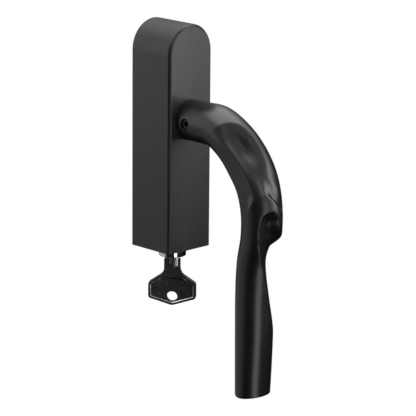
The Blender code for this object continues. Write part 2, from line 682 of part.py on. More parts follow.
def make_cam_drum(key_axis):
    """The drum on the plug's tail, with a helical groove that lifts the bolt as the key turns."""
    drum = turned("cam_drum", [(2.3, -46.6), (DRUM_RADIUS, -46.6), (DRUM_RADIUS, -37.6), (1.5, -37.6),
                               (1.5, -44.3), (2.3, -44.3)], "Z", coat="zinc", parent=key_axis, sides=36,
                  closed=True)
    front = -math.pi / 2 - KEY_CLOCKING
    bm = bmesh.new()
    rings = []
    for step in range(14):
        turn = math.radians(-18 + 126 * step / 13)
        height = BOLT_PIN_Z + BOLT_TRAVEL * turn / (math.pi / 2)
        angle = front - turn
        ring = []
        for radius, rise in ((3.0, -1.35), (5.6, -1.35), (5.6, 1.35), (3.0, 1.35)):
            spot = (radius * math.cos(angle), radius * math.sin(angle), height + rise)
            ring.append(bm.verts.new(spot))
        rings.append(ring)
    for one, other in zip(rings, rings[1:]):
        for side in range(4):
            nxt = (side + 1) % 4
            bm.faces.new((one[side], one[nxt], other[nxt], other[side]))
    bm.faces.new(rings[0])
    bm.faces.new(rings[-1])
    combine(drum, place("helical_groove", bm, parent=key_axis))
    turned("drum_screw", [(0, -43.9), (1.2, -43.9), (1.2, -37.3), (2.4, -37.3), (2.4, -36.2), (0, -36.2)],
           "Z", coat="steel", parent=key_axis, sides=16)


def make_bolt(bolt_slide):
    right = [(4.0, -46.5), (4.0, BOLT_NECK_Z - 1.5), (2.5, BOLT_NECK_Z), (2.5, BOLT_TIP)]
    outline = right + [(-x, z) for x, z in reversed(right)]
    bolt = prism("lock_bolt", outline, "Y", BOLT_FRONT, BOLT_BACK, "steel", bolt_slide)
    combine(bolt, rod("bolt_pin", BOLT_PIN_RADIUS, (0, BOLT_PIN_Z), "Y", BOLT_FRONT + 0.5, -17.1,
                      parent=bolt_slide, sides=16), "UNION")
    keeper = box("bolt_keeper", (-6.0, -18.6, -34), (6.0, -17.8, -22), "steel")
    combine(keeper, box("bolt_keeper_window", (-2.2, -20, -30), (2.2, -16, -26)))


def key_head_outline():
    """Half of the key's bow mirrored to the whole: a neck, sloped shoulders, a shallow point."""
    right = [(3.9, KEY_HEAD_TOP), (3.95, -76.6), (5.0, -78.9), (11.7, -83.4), (11.7, -91.0), (0, -94.6)]
    left = [(-x, z) for x, z in reversed(right[:-1])]
    return list(reversed(right + left))


def make_key(key_slide):
    head = prism("key_head", rounded(key_head_outline(), 1.0, 3), "Y", -1.7, 1.7, "black_plastic",
                 key_slide)
    bm = bmesh.new()
    pocket = rectangle(BLADE_HALF_WIDTH + 0.25, BLADE_HALF_THICKNESS + 0.25)
    add_prism(bm, pocket, "Z", -84.3, KEY_HEAD_TOP + 1)
    combine(head, place("key_head_pocket", bm, parent=key_slide))
    bm = bmesh.new()
    add_rod(bm, 2.65, (0, -90.2), "Y", -3, 3, 24)
    for side in (-1, 1):
        window = rectangle(0.8, 2.4, (side * 1.5, -73.3))
        add_prism(bm, window, "Y", -3, 3)
    combine(head, place("key_head_holes", bm, parent=key_slide))

    outline = [(-BLADE_HALF_WIDTH, -84.0), (BLADE_HALF_WIDTH, -84.0), (BLADE_HALF_WIDTH, -52.6),
               (BLADE_HALF_WIDTH - 1.2, -51.2), (-BLADE_HALF_WIDTH + 1.2, -51.2),
               (-BLADE_HALF_WIDTH, -52.6)]
    blade = prism("key_blade", outline, "Y", -BLADE_HALF_THICKNESS, BLADE_HALF_THICKNESS, "steel",
                  key_slide)
    bm = bmesh.new()
    depths = (0.5, 0.9, 0.35, 0.8, 0.6)
    for number, depth in enumerate(depths):
        height = WAFER_FIRST + number * WAFER_PITCH
        side = 1 if number % 2 == 0 else -1
        bite = [(side * (BLADE_HALF_WIDTH + 1), height + 1.5), (side * (BLADE_HALF_WIDTH + 1), height - 1.5),
                (side * (BLADE_HALF_WIDTH - depth), height - 0.45),
                (side * (BLADE_HALF_WIDTH - depth), height + 0.45)]
        add_prism(bm, bite, "Y", -2, 2)
    for side in (-1, 1):
        low, high = sorted((side * (BLADE_HALF_THICKNESS - 0.3), side * 2))
        add_box(bm, (-0.5, low, -70.5), (0.5, high, -50))
    combine(blade, place("key_blade_bites", bm, parent=key_slide))


def build():
    clear_scene()
    lever_axis = axis_empty("lever_axis", (0, 0, 0))
    rack_left_slide = axis_empty("rack_left_slide", (0, 0, 0))
    rack_right_slide = axis_empty("rack_right_slide", (0, 0, 0))
    bolt_slide = axis_empty("bolt_slide", (0, 0, 0))
    key_axis = axis_empty("key_axis", (0, LOCK_Y, 0), turn=KEY_CLOCKING)
    key_slide = axis_empty("key_slide", (0, 0, 0), parent=key_axis)

    make_casing()
    make_base_plate()
    make_case_screws()
    make_bearing_plate()
    make_pinion(lever_axis)
    make_rack("rack_right", 1, rack_right_slide)
    make_rack("rack_left", -1, rack_left_slide)
    make_spindle(lever_axis)
    make_lever(lever_axis)
    make_grub_screw(lever_axis)
    make_neck_bearing(lever_axis)
    make_lock_disc(lever_axis)
    make_detent(lever_axis)
    make_lock_body()
    make_plug(key_axis)
    make_cam_drum(key_axis)
    make_bolt(bolt_slide)
    make_key(key_slide)


build()
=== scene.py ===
# %% [markdown]
# # Finishing a lockable window handle
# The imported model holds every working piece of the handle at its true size: a deep casing with an arched
# top, a sculpted lever, a gear train that drives two racks, and a lock with its key. This notebook gives
# each of those pieces the surface it has on the real object. Pieces whose plain CAD shape is already
# right keep it and get a finish. Pieces that people look at and hold are modelled again, finer.
#
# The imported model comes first. Everything later takes its place from it.

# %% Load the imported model
import json
import math

import bpy
import numpy
from mathutils import Matrix, Vector


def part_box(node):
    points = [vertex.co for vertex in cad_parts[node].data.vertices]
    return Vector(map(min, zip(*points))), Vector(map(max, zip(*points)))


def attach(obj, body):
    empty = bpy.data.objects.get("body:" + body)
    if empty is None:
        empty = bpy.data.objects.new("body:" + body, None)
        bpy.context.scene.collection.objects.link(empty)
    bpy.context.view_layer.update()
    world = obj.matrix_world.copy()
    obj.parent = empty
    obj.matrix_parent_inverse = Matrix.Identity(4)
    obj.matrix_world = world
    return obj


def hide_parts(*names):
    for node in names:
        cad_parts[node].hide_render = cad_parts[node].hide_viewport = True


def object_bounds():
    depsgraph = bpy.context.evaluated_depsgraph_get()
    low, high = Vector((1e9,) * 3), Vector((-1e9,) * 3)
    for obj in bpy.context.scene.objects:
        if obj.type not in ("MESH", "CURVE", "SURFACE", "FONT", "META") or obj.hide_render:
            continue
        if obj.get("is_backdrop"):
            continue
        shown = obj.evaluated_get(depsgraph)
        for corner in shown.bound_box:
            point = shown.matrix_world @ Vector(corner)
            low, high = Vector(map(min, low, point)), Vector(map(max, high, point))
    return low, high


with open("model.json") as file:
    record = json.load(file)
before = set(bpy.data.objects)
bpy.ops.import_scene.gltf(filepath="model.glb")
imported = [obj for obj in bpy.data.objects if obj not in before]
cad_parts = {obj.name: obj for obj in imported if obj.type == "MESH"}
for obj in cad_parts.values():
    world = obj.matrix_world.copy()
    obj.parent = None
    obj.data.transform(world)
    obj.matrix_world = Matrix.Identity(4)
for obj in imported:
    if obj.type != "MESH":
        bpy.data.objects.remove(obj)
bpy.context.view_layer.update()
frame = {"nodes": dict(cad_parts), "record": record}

MM = 0.001

# %% [markdown]
# ## Looking at it
# A long lens from well back keeps the casing's upright edges parallel, which is how small hardware is
# usually shown. The camera stands to the handle's left and a little above it, so the casing's side, its
# front and the lever's bend are all in view. The target is a point in the air between the casing and
# the grip.

# %% Camera
VIEW_AZIMUTH = math.radians(-44.29)
VIEW_ELEVATION = math.radians(14.29)
VIEW_ROLL = math.radians(0.51)
VIEW_DISTANCE = 1226.6 * MM
VIEW_TARGET = Vector((21.8, -15.9, -49.2)) * MM
LENS_LENGTH = 216.35
SENSOR_WIDTH = 36
NEAREST_SEEN = 0.05
FARTHEST_SEEN = 60

camera_data = bpy.data.cameras.new("camera")
camera_data.lens = LENS_LENGTH
camera_data.sensor_width = SENSOR_WIDTH
camera_data.clip_start = NEAREST_SEEN
camera_data.clip_end = FARTHEST_SEEN
camera = bpy.data.objects.new("camera", camera_data)
bpy.context.scene.collection.objects.link(camera)
toward_camera = Vector((math.sin(VIEW_AZIMUTH) * math.cos(VIEW_ELEVATION),
                        -math.cos(VIEW_AZIMUTH) * math.cos(VIEW_ELEVATION),
                        math.sin(VIEW_ELEVATION)))
camera.location = VIEW_TARGET + toward_camera * VIEW_DISTANCE
camera.rotation_mode = "QUATERNION"
level = (-toward_camera).to_track_quat("-Z", "Y").to_matrix()
camera.rotation_quaternion = (level @ Matrix.Rotation(VIEW_ROLL, 3, "Z")).to_quaternion()
bpy.context.scene.camera = camera
print("camera stands", round(VIEW_DISTANCE, 3), "m from its target")

# %% [markdown]
# ## Writing shader maths as sums
# Every finish below is a small graph of nodes. Placing nodes one by one hides what they compute, so a
# socket is wrapped in a class that understands plus, minus and times. An expression on wrapped sockets
# adds the Math nodes it needs, and any other kind of node comes from one method.

# %% Sockets that can be added and multiplied
class Wire:
    """One output socket, usable in arithmetic."""

    def __init__(self, board, socket):
        self.board = board
        self.socket = socket

    def _sum(self, operation, left, right):
        return self.board.add("ShaderNodeMath", {"operation": operation}, [left, right])

    def __add__(self, other):
        return self._sum("ADD", self, other)

    def __radd__(self, other):
        return self._sum("ADD", other, self)

    def __sub__(self, other):
        return self._sum("SUBTRACT", self, other)

    def __rsub__(self, other):
        return self._sum("SUBTRACT", other, self)

    def __mul__(self, other):
        return self._sum("MULTIPLY", self, other)

    def __rmul__(self, other):
        return self._sum("MULTIPLY", other, self)


class Board:
    """A node tree and the one way to add a node to it."""

    def __init__(self, tree):
        self.tree = tree

    def add(self, kind, settings=None, sockets=None, out=0):
        node = self.tree.nodes.new(kind)
        for name, value in (settings or {}).items():
            setattr(node, name, value)
        pairs = enumerate(sockets) if isinstance(sockets, (list, tuple)) else (sockets or {}).items()
        for key, value in pairs:
            if isinstance(value, Wire):
                self.tree.links.new(value.socket, node.inputs[key])
            else:
                node.inputs[key].default_value = value
        return Wire(self, node.outputs[out]) if len(node.outputs) else node


print("shader maths ready")

# %% [markdown]
# ## Studio
# A dark satin object shows its surroundings more than its own colour, so the surroundings are what is
# designed here. They could be a picture wrapped round the scene, but a few smooth ramps on the direction
# are easier to change one at a time. Behind the handle it is pale, and a much brighter canopy hangs over
# it. The camera's side and the low right are dark, which leaves the middle of the grip and its right edge
# dark. The camera itself sees plain white.

# %% Ramps on the direction
world = bpy.data.worlds.new("studio")
world.use_nodes = True
world.node_tree.nodes.clear()
air = Board(world.node_tree)


def ramp_over(value, low, high, start, end):
    """Runs smoothly from start to end as the value goes from low to high."""
    return air.add("ShaderNodeMapRange", {"interpolation_type": "SMOOTHSTEP"},
                   [value, low, high, start, end])


print("studio board ready")

# %% [markdown]
# The direction is split into right, back and up, each from -1 to 1. Products of ramps say where it is
# dark, and the canopy is added on top.

# %% Surroundings
BACK_WHITE = 0.42
OVERHEAD_WHITE = 4.3
FRONT_DARK = 0.01
GROUND_SHARE = 0.1
RIGHT_SHADE = 0.98
FAR_BACK_SHARE = 0.35
CANOPY_EDGE_SHARE = 0.25
SKY_TINT = (0.98, 0.99, 1.0, 1.0)

direction = air.add("ShaderNodeTexCoord", out="Generated")
right, back, up = (air.add("ShaderNodeSeparateXYZ", sockets=[direction], out=axis) for axis in "XYZ")
behind = ramp_over(back, 0.10, 0.36, FRONT_DARK, BACK_WHITE)
above_ground = ramp_over(up, -0.95, -0.50, GROUND_SHARE, 1.0)

toward_right = ramp_over(right, -0.2, 0.45, 0.0, RIGHT_SHADE)
low_down = ramp_over(up, 0.1, 0.45, 1.0, 0.0)
not_far_back = ramp_over(back, 0.50, 0.75, 1.0, FAR_BACK_SHARE)
not_right = 1.0 - (toward_right * low_down * not_far_back)

high_up = ramp_over(up, 0.40, 0.80, 0.0, 1.0)
only_right = air.add("ShaderNodeMath", {"operation": "MAXIMUM"}, [right, 0.0])
canopy_start = ramp_over(back + only_right * 0.5, -0.45, 0.05, 0.0, OVERHEAD_WHITE)
canopy_back = ramp_over(back, 0.40, 0.70, 1.0, CANOPY_EDGE_SHARE)
canopy_right = ramp_over(right, 0.45, 0.90, 1.0, CANOPY_EDGE_SHARE)
overhead = high_up * canopy_start * canopy_back * canopy_right

studio = behind * not_right * above_ground * (1.0 - high_up) + overhead
seen = air.add("ShaderNodeLightPath", out="Is Camera Ray")
strength = studio + seen * (1.0 - studio)
glow = air.add("ShaderNodeBackground", sockets={"Color": SKY_TINT, "Strength": strength})
air.add("ShaderNodeOutputWorld", sockets=[glow])
bpy.context.scene.world = world
bpy.context.scene.view_settings.view_transform = "Standard"
print("surroundings:", len(world.node_tree.nodes), "nodes")

# %% [markdown]
# Four soft boxes draw the highlights. The tall one in front leaves the long light down the grip. The one
# to the right hangs high, so it lights the top of the casing's front and leaves its foot dark. A smaller
# one above the camera lifts the lever's bend, and one at the back left skims the grain on the casing's
# side. Bare lamps would give the same light, but a satin surface shows the shape of its lamp, and a wide
# panel leaves a soft streak.

# %% Soft boxes
def softbox(name, place, size, power, aim, tint=(1.0, 1.0, 1.0)):
    """A rectangular light that faces a point on the handle and isn't seen itself."""
    data = bpy.data.lights.new(name, "AREA")
    data.shape = "RECTANGLE"
    data.size, data.size_y = size
    data.energy = power
    data.color = tint
    lamp = bpy.data.objects.new(name, data)
    lamp.location = place
    lamp.rotation_mode = "QUATERNION"
    lamp.rotation_quaternion = (Vector(aim) - Vector(place)).to_track_quat("-Z", "Y")
    lamp.visible_camera = False
    bpy.context.scene.collection.objects.link(lamp)


softbox("front_box", place=(-0.20, -0.95, -0.31), size=(0.44, 0.66), power=2.8, aim=(0, -0.06, -0.06))
softbox("right_box", place=(0.215, -0.37, 0.085), size=(0.20, 0.36), power=1.35, aim=(0, -0.03, 0.0),
        tint=(0.98, 0.98, 1.0))
softbox("upper_box", place=(-0.24, -0.70, 0.40), size=(0.38, 0.24), power=1.1, aim=(0, -0.08, -0.02))
softbox("left_box", place=(-0.36, 0.34, 0.08), size=(0.40, 0.36), power=0.4, aim=(-0.014, -0.013, 0.03))

# %% [markdown]
# The floor lies far below the handle, which hangs on its mounting face as it would on a sash. It is as
# pale as the surroundings, and it lets their light through to the underside of the handle.

# %% Floor
FLOOR_HEIGHT = -0.6
FLOOR_SIZE = 12
WHITE = (1.0, 1.0, 1.0, 1.0)

bpy.ops.object.select_all(action="DESELECT")
bpy.ops.mesh.primitive_plane_add(size=FLOOR_SIZE, location=(0, 0, FLOOR_HEIGHT))
floor = bpy.context.object
floor.name = "floor"
floor_paint = bpy.data.materials.new("floor_paint")
floor_paint.use_nodes = True
floor_paint.node_tree.nodes.clear()
ground = Board(floor_paint.node_tree)
pale = ground.add("ShaderNodeEmission", sockets={"Color": WHITE, "Strength": 1.0})
clear = ground.add("ShaderNodeBsdfTransparent")
floor_seen = ground.add("ShaderNodeLightPath", out="Is Camera Ray")
ground.add("ShaderNodeOutputMaterial",
           sockets=[ground.add("ShaderNodeMixShader", sockets=[floor_seen, clear, pale])])
floor.data.materials.append(floor_paint)
floor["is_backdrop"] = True
print("floor at", FLOOR_HEIGHT, "m")

# %% [markdown]
# ## Finishes
# Twelve finishes cover the handle. Each starts from a colour, a roughness and a metallic value, and adds
# what the real surface has at its true scale: brushed grain under the casing's coat, a fine tooth in
# plastic, clouds in zinc plating, turning marks on steel.

# %% Helpers for finishes
def new_finish(name):
    """A material with an empty board; returns both."""
    material = bpy.data.materials.new(name)
    material.use_nodes = True
    material.node_tree.nodes.clear()
    return material, Board(material.node_tree)


def object_noise(board, stretch, detail=3.0, roughness=0.55):
    """Noise on object coordinates, with a scale for each axis in features per metre."""
    place = board.add("ShaderNodeTexCoord", out="Object")
    scaled = board.add("ShaderNodeMapping", sockets={"Vector": place, "Scale": stretch})
    return board.add("ShaderNodeTexNoise", sockets={"Vector": scaled, "Scale": 1.0, "Detail": detail,
                                                    "Roughness": roughness})


def spread(board, value, low, high, from_low=0.3, from_high=0.7):
    """Maps a noise value onto a wanted range."""
    return board.add("ShaderNodeMapRange", sockets=[value, from_low, from_high, low, high])


def blend_colours(board, factor, first, second):
    """The first colour where the factor is 0, the second where it is 1."""
    return board.add("ShaderNodeMix", {"data_type": "RGBA"},
                     {0: factor, 6: (*first, 1.0), 7: (*second, 1.0)}, out=2)


def surface(board, colour, roughness, metallic, height, bump_depth):
    """The Principled shader and output; height feeds a bump of the given depth in metres."""
    normal = board.add("ShaderNodeBump", sockets={"Strength": 1.0, "Distance": bump_depth,
                                                  "Height": height})
    shader = board.add("ShaderNodeBsdfPrincipled",
                       sockets={"Base Color": colour, "Roughness": roughness, "Metallic": metallic,
                                "Normal": normal})
    board.add("ShaderNodeOutputMaterial", sockets=[shader])


print("finish helpers ready")

# %% [markdown]
# ### Black coats
# The casing is brushed upright before it is coated, so a faint grain shows through and scatters light
# sideways. The lever is cast and blasted, and its coat is even in every direction.

# %% Casing coat and lever coat
def make_casing_coat():
    material, board = new_finish("casing_coat")
    grain = object_noise(board, (1700, 1700, 30), detail=4.0, roughness=0.7)
    cloud = object_noise(board, (60, 60, 30), detail=2.0)
    tint = spread(board, grain, 0.0, 1.0)
    colour = blend_colours(board, tint, (0.0045, 0.0044, 0.0062), (0.0150, 0.0145, 0.0190))
    roughness = spread(board, grain, 0.34, 0.46) + spread(board, cloud, -0.02, 0.03)
    surface(board, colour, roughness, metallic=0.0, height=grain, bump_depth=0.000016)
    return material


def make_lever_coat():
    material, board = new_finish("lever_coat")
    tooth = object_noise(board, (5200, 5200, 5200), detail=2.0)
    cloud = object_noise(board, (70, 70, 70), detail=2.0)
    colour = blend_colours(board, spread(board, cloud, 0.0, 1.0), (0.0040, 0.0044, 0.0056),
                           (0.0055, 0.0060, 0.0074))
    roughness = spread(board, cloud, 0.335, 0.365) + spread(board, tooth, -0.02, 0.02)
    surface(board, colour, roughness, metallic=0.0, height=tooth, bump_depth=0.000006)
    return material


casing_coat = make_casing_coat()
lever_coat = make_lever_coat()
print("coats:", casing_coat.name, lever_coat.name)

# %% [markdown]
# ### Metals
# One function serves the metals that differ in colour and in the direction of their machining. Grain
# runs along the axis whose scale is small.

# %% Metal finishes
def make_metal(name, dark, light, roughness, grain_scale, mark_depth=0.000006):
    """A metal that varies between two colours, with grain or machining marks of a depth in metres."""
    material, board = new_finish(name)
    grain = object_noise(board, grain_scale, detail=3.0, roughness=0.6)
    cloud = object_noise(board, (180, 180, 180), detail=3.0)
    colour = blend_colours(board, spread(board, cloud, 0.0, 1.0), dark, light)
    finish_roughness = spread(board, grain, roughness - 0.06, roughness + 0.08)
    finish_roughness = finish_roughness + spread(board, cloud, -0.03, 0.04)
    surface(board, colour, finish_roughness, metallic=1.0, height=grain, bump_depth=mark_depth)
    return material


FINISHES = {
    "casing_coat": casing_coat,
    "lever_coat": lever_coat,
    "zinc_plated_steel": make_metal("zinc_plate", (0.50, 0.51, 0.52), (0.62, 0.62, 0.60), 0.34,
                                    (1500, 1500, 60)),
    "plain_steel": make_metal("plain_steel", (0.40, 0.41, 0.43), (0.52, 0.52, 0.53), 0.32,
                              (300, 3000, 300)),
    "spring_steel": make_metal("spring_steel", (0.16, 0.19, 0.26), (0.28, 0.30, 0.36), 0.30,
                               (1500, 1500, 90)),
    "brass": make_metal("brass", (0.58, 0.42, 0.17), (0.70, 0.54, 0.27), 0.28, (500, 500, 3500)),
    "chrome": make_metal("chrome", (0.78, 0.79, 0.81), (0.84, 0.85, 0.86), 0.13, (60, 60, 400),
                         0.0000002),
    "die_cast_zinc": make_metal("die_cast_zinc", (0.36, 0.37, 0.38), (0.50, 0.51, 0.52), 0.50,
                                (2200, 2200, 2200), 0.00002),
    "key_metal": make_metal("key_metal", (0.66, 0.65, 0.63), (0.80, 0.79, 0.77), 0.38,
                            (2500, 2500, 90)),
}
# The grub screw's steel is darkened almost to black: painted shade for the hole it sits in.
shade_darkened_steel = make_metal("shade_darkened_steel", (0.030, 0.030, 0.032), (0.060, 0.060, 0.062), 0.36,
                             (900, 900, 900))
print("coats and metals:", len(FINISHES) + 1)

# %% [markdown]
# ### Plastics
# The key's bow is moulded in black with a spark-eroded tooth. The glints that the tooth throws are painted
# into its colour as lighter specks. The neck bush is unfilled off-white plastic.

# %% Plastic finishes
def make_plastic(name, dark, light, roughness, tooth_scale, tooth_depth):
    """A moulded plastic with a tooth of a scale in features per metre and a depth in metres."""
    material, board = new_finish(name)
    tooth = object_noise(board, (tooth_scale,) * 3, detail=3.0, roughness=0.7)
    # Lighter specks follow the tooth in the colour: a random tone on the bush, painted glints on the black
    # key.
    tone_and_glint_specks = spread(board, tooth, 0.0, 1.0, from_low=0.4, from_high=0.65)
    colour = blend_colours(board, tone_and_glint_specks, dark, light)
    finish_roughness = spread(board, tooth, roughness - 0.07, roughness + 0.07)
    surface(board, colour, finish_roughness, metallic=0.0, height=tooth, bump_depth=tooth_depth)
    return material


# On the key the lighter colour is the colour of its specks, which are painted glints.
FINISHES["key_plastic"] = make_plastic("key_plastic", (0.003, 0.003, 0.003), (0.045, 0.044, 0.042), 0.46,
                                       1500, 0.00004)
FINISHES["bush_plastic"] = make_plastic("bush_plastic", (0.62, 0.61, 0.57), (0.72, 0.71, 0.67), 0.45,
                                        1200, 0.000008)
for entry in frame["record"]["subparts"]:
    node = frame["nodes"][entry["node"]]
    node.data.materials.clear()
    node.data.materials.append(FINISHES[entry["material_slot"]])
# The grub screw gets the darkened steel, which paints the shade of its hole.
frame["nodes"]["grub_screw"].data.materials[0] = shade_darkened_steel
print("finishes:", ", ".join(sorted(FINISHES)))

# %% [markdown]
# ## Modelling by hand, in code
# Selecting is done with the mouse at the screen. Here it is done by a test on place or direction, and a
# few small helpers keep the steps short. They add a primitive with nothing else selected, pick what
# passes a test and enter edit mode, and extrude what is picked.

# %% Selection helpers
def add_primitive(kind, name, **where):
    """Adds a primitive with nothing else selected, and names it."""
    bpy.ops.object.select_all(action="DESELECT")
    getattr(bpy.ops.mesh, "primitive_" + kind + "_add")(**where)
    piece = bpy.context.object
    piece.name = name
    bpy.ops.object.transform_apply(location=True, rotation=True, scale=True)
    return piece


def pick(piece, kind, test):
    """Selects what passes the test, of one kind, and enters edit mode."""
    bpy.context.view_layer.objects.active = piece
    mesh = piece.data
    for items in (mesh.vertices, mesh.edges, mesh.polygons):
        items.foreach_set("select", [False] * len(items))
    wanted = {"VERT": mesh.vertices, "EDGE": mesh.edges, "FACE": mesh.polygons}[kind]
    for item in wanted:
        item.select = bool(test(item))
    bpy.context.tool_settings.mesh_select_mode = (kind == "VERT", kind == "EDGE", kind == "FACE")
    bpy.ops.object.mode_set(mode="EDIT")


def done():
    bpy.ops.object.mode_set(mode="OBJECT")


def edge_ends(piece, edge):
    return [piece.data.vertices[index].co for index in edge.vertices]


def extrude_by(x, y, z):
    bpy.ops.mesh.extrude_region_move(TRANSFORM_OT_translate={"value": (x, y, z)})


print("selection helpers ready")

# %% [markdown]
# Holes and bosses are cut or joined with a plain tool that is thrown away afterwards. A finished piece is
# shaded, gets its finish, rides on its body and hides the CAD node that it stands for. On pieces with
# large flat faces the shading is weighted by area, so that a bevel beside a flat face doesn't tilt its
# light.

# %% Carving and handing over
def carve(piece, tool, operation="DIFFERENCE", solver="EXACT"):
    """Cuts a piece with a tool, or joins the tool to it, and throws the tool away."""
    bpy.ops.object.select_all(action="DESELECT")
    bpy.context.view_layer.objects.active = piece
    boolean = piece.modifiers.new("carve", "BOOLEAN")
    boolean.operation = operation
    boolean.solver = solver
    boolean.object = tool
    bpy.ops.object.modifier_apply(modifier="carve")
    bpy.data.objects.remove(tool, do_unlink=True)


FULL_WEIGHT = 100


def hand_over(piece, slot, body, *nodes, smooth_angle=30, flat_faces=False):
    """Shades a finished piece, gives it its finish and its body, and hides the CAD it stands for.

    A piece that already carries two finishes keeps them.
    """
    if len(piece.data.materials) < 2:
        piece.data.materials.clear()
        piece.data.materials.append(FINISHES[slot])
    bpy.ops.object.select_all(action="DESELECT")
    bpy.context.view_layer.objects.active = piece
    piece.select_set(True)
    bpy.ops.object.shade_smooth_by_angle(angle=math.radians(smooth_angle))
    if flat_faces:
        weighted = piece.modifiers.new("weighted", "WEIGHTED_NORMAL")
        weighted.keep_sharp = True
        weighted.weight = FULL_WEIGHT
        bpy.ops.object.modifier_apply(modifier="weighted")
    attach(piece, body)
    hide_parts(*nodes)
    print(piece.name, len(piece.data.polygons), "faces, stands for", ", ".join(nodes))


print("carving and handing over ready")

# %% [markdown]
# ## The casing
# On the real handle this is a die-cast box, open at the back, with a half-round top. Its front edge is
# rounded all the way round the arch and its foot is cut square. It could be a scaled cube with a
# cylinder on top, but the join would show, so it starts as half a circle: the two ends are drawn
# straight down, the outline is filled, and the face is pulled back to the depth of the casing.

# %% Casing block
case_low, case_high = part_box("casing")
CASE_HALF = case_high.x
CASE_FRONT = case_low.y
CASE_BACK = case_high.y
CASE_FOOT = case_low.z
ARCH_Z = case_high.z - CASE_HALF
CASE_WALL = 1.5 * MM
CASE_EDGE = 1.45 * MM
FOOT_EDGE = 0.15 * MM
HAIR = 0.01 * MM

casing_shell = add_primitive("circle", "casing_shell", vertices=128, radius=CASE_HALF,
                             location=(0, CASE_FRONT, ARCH_Z), rotation=(math.pi / 2, 0, 0))
pick(casing_shell, "VERT", lambda v: v.co.z < ARCH_Z - HAIR)
bpy.ops.mesh.delete(type="VERT")
done()
pick(casing_shell, "VERT", lambda v: v.co.z < ARCH_Z + HAIR)
extrude_by(0, 0, CASE_FOOT - ARCH_Z)
bpy.ops.mesh.edge_face_add()
bpy.ops.mesh.select_all(action="SELECT")
bpy.ops.mesh.edge_face_add()
extrude_by(0, CASE_BACK - CASE_FRONT, 0)
bpy.ops.mesh.select_all(action="SELECT")
bpy.ops.mesh.normals_make_consistent(inside=False)
done()
print("casing block:", len(casing_shell.data.vertices), "corners")


# %% [markdown]
# The rounding is a bevel on the front rim, left off along the foot, whose own edges are only just broken.
# The back is then inset by the wall and pushed in, which leaves a shell. A solidify modifier could do the
# same once the back face is gone, but the two steps by hand are as short.

# %% Casing edge and hollow
def on_rim(edge):
    ends = edge_ends(casing_shell, edge)
    on_front = all(abs(p.y - CASE_FRONT) < HAIR for p in ends)
    return on_front and not all(abs(p.z - CASE_FOOT) < HAIR for p in ends)


pick(casing_shell, "EDGE", on_rim)
bpy.ops.mesh.bevel(offset=CASE_EDGE, segments=8, profile=0.32, clamp_overlap=False)
done()


def on_foot(edge):
    ends = edge_ends(casing_shell, edge)
    return all(abs(p.z - CASE_FOOT) < HAIR for p in ends)


pick(casing_shell, "EDGE", on_foot)
bpy.ops.mesh.bevel(offset=FOOT_EDGE, segments=2, profile=0.5)
done()
pick(casing_shell, "FACE", lambda f: f.normal.y > 0.99 and abs(f.center.y - CASE_BACK) < HAIR)
bpy.ops.mesh.inset(thickness=CASE_WALL, depth=0)
extrude_by(0, -(CASE_BACK - CASE_FRONT - CASE_WALL), 0)
done()
print("casing shell:", len(casing_shell.data.polygons), "faces")

# %% [markdown]
# Two round holes go right through the walls: one in front for the lever's bearing, one below for the
# lock. A boss stands on the inside of the front wall for every screw of the base plate and of the bearing
# plate. Their places are read from the screws in the CAD model, so each boss meets its screw.

# %% Casing holes and bosses
LOCK_CENTRE = (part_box("lock_collar")[0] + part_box("lock_collar")[1]) / 2
BOSS_RADIUS = 2.3 * MM
OVERLAP = 0.5 * MM
PLATE_BOSS_BACK = -2.3 * MM
BEARING_BOSS_BACK = -15.0 * MM
SCREW_BORE = 1.4 * MM
BEARING_HOLE = 8.8 * MM
LOCK_HOLE = 7.0 * MM


def round_tool(radius, centre, axis, length, sides=64):
    """A cylinder along an axis, to carve or join with."""
    turn = {"X": (0, math.pi / 2, 0), "Y": (math.pi / 2, 0, 0), "Z": (0, 0, 0)}[axis]
    return add_primitive("cylinder", "tool", vertices=sides, radius=radius, depth=length,
                         location=centre, rotation=turn)


for node_name in sorted(frame["nodes"]):
    if "_screw_" not in node_name:
        continue
    low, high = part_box(node_name)
    centre = (low + high) / 2
    boss_back = PLATE_BOSS_BACK if node_name.startswith("plate") else BEARING_BOSS_BACK
    boss_front = CASE_FRONT + CASE_WALL - OVERLAP
    middle = Vector((centre.x, (boss_back + boss_front) / 2, centre.z))
    carve(casing_shell, round_tool(BOSS_RADIUS, middle, "Y", boss_back - boss_front, 24), "UNION")
    bore_front = max(low.y - OVERLAP, CASE_FRONT + CASE_WALL)
    bore_back = boss_back + OVERLAP
    middle.y = (bore_back + bore_front) / 2
    carve(casing_shell, round_tool(SCREW_BORE, middle, "Y", bore_back - bore_front, 16))
carve(casing_shell, round_tool(BEARING_HOLE, (0, CASE_FRONT, 0), "Y", 4 * CASE_WALL, 72))
carve(casing_shell, round_tool(LOCK_HOLE, (0, LOCK_CENTRE.y, CASE_FOOT), "Z", 2.8 * CASE_WALL, 72))
hand_over(casing_shell, "casing_coat", "casing", "casing", flat_faces=True)

# %% [markdown]
# ## The lever
# The grip is what hands and eyes go to. The real one is cast as a round bar that bends down out of its
# neck, and then sculpted: a long hollow winds over the bend, and a hollow for the thumb runs down the
# front. Extruding circles gives the bar but not the hollows, and cutting the hollows with spheres leaves
# edges that are all equally sharp. So the bar is written as rings round a spine, and each hollow is a
# depth that is taken off the bar, worked out for every distance along it and every angle round it. Where
# two surfaces meet, a soft minimum decides how crisp the ridge between them is.

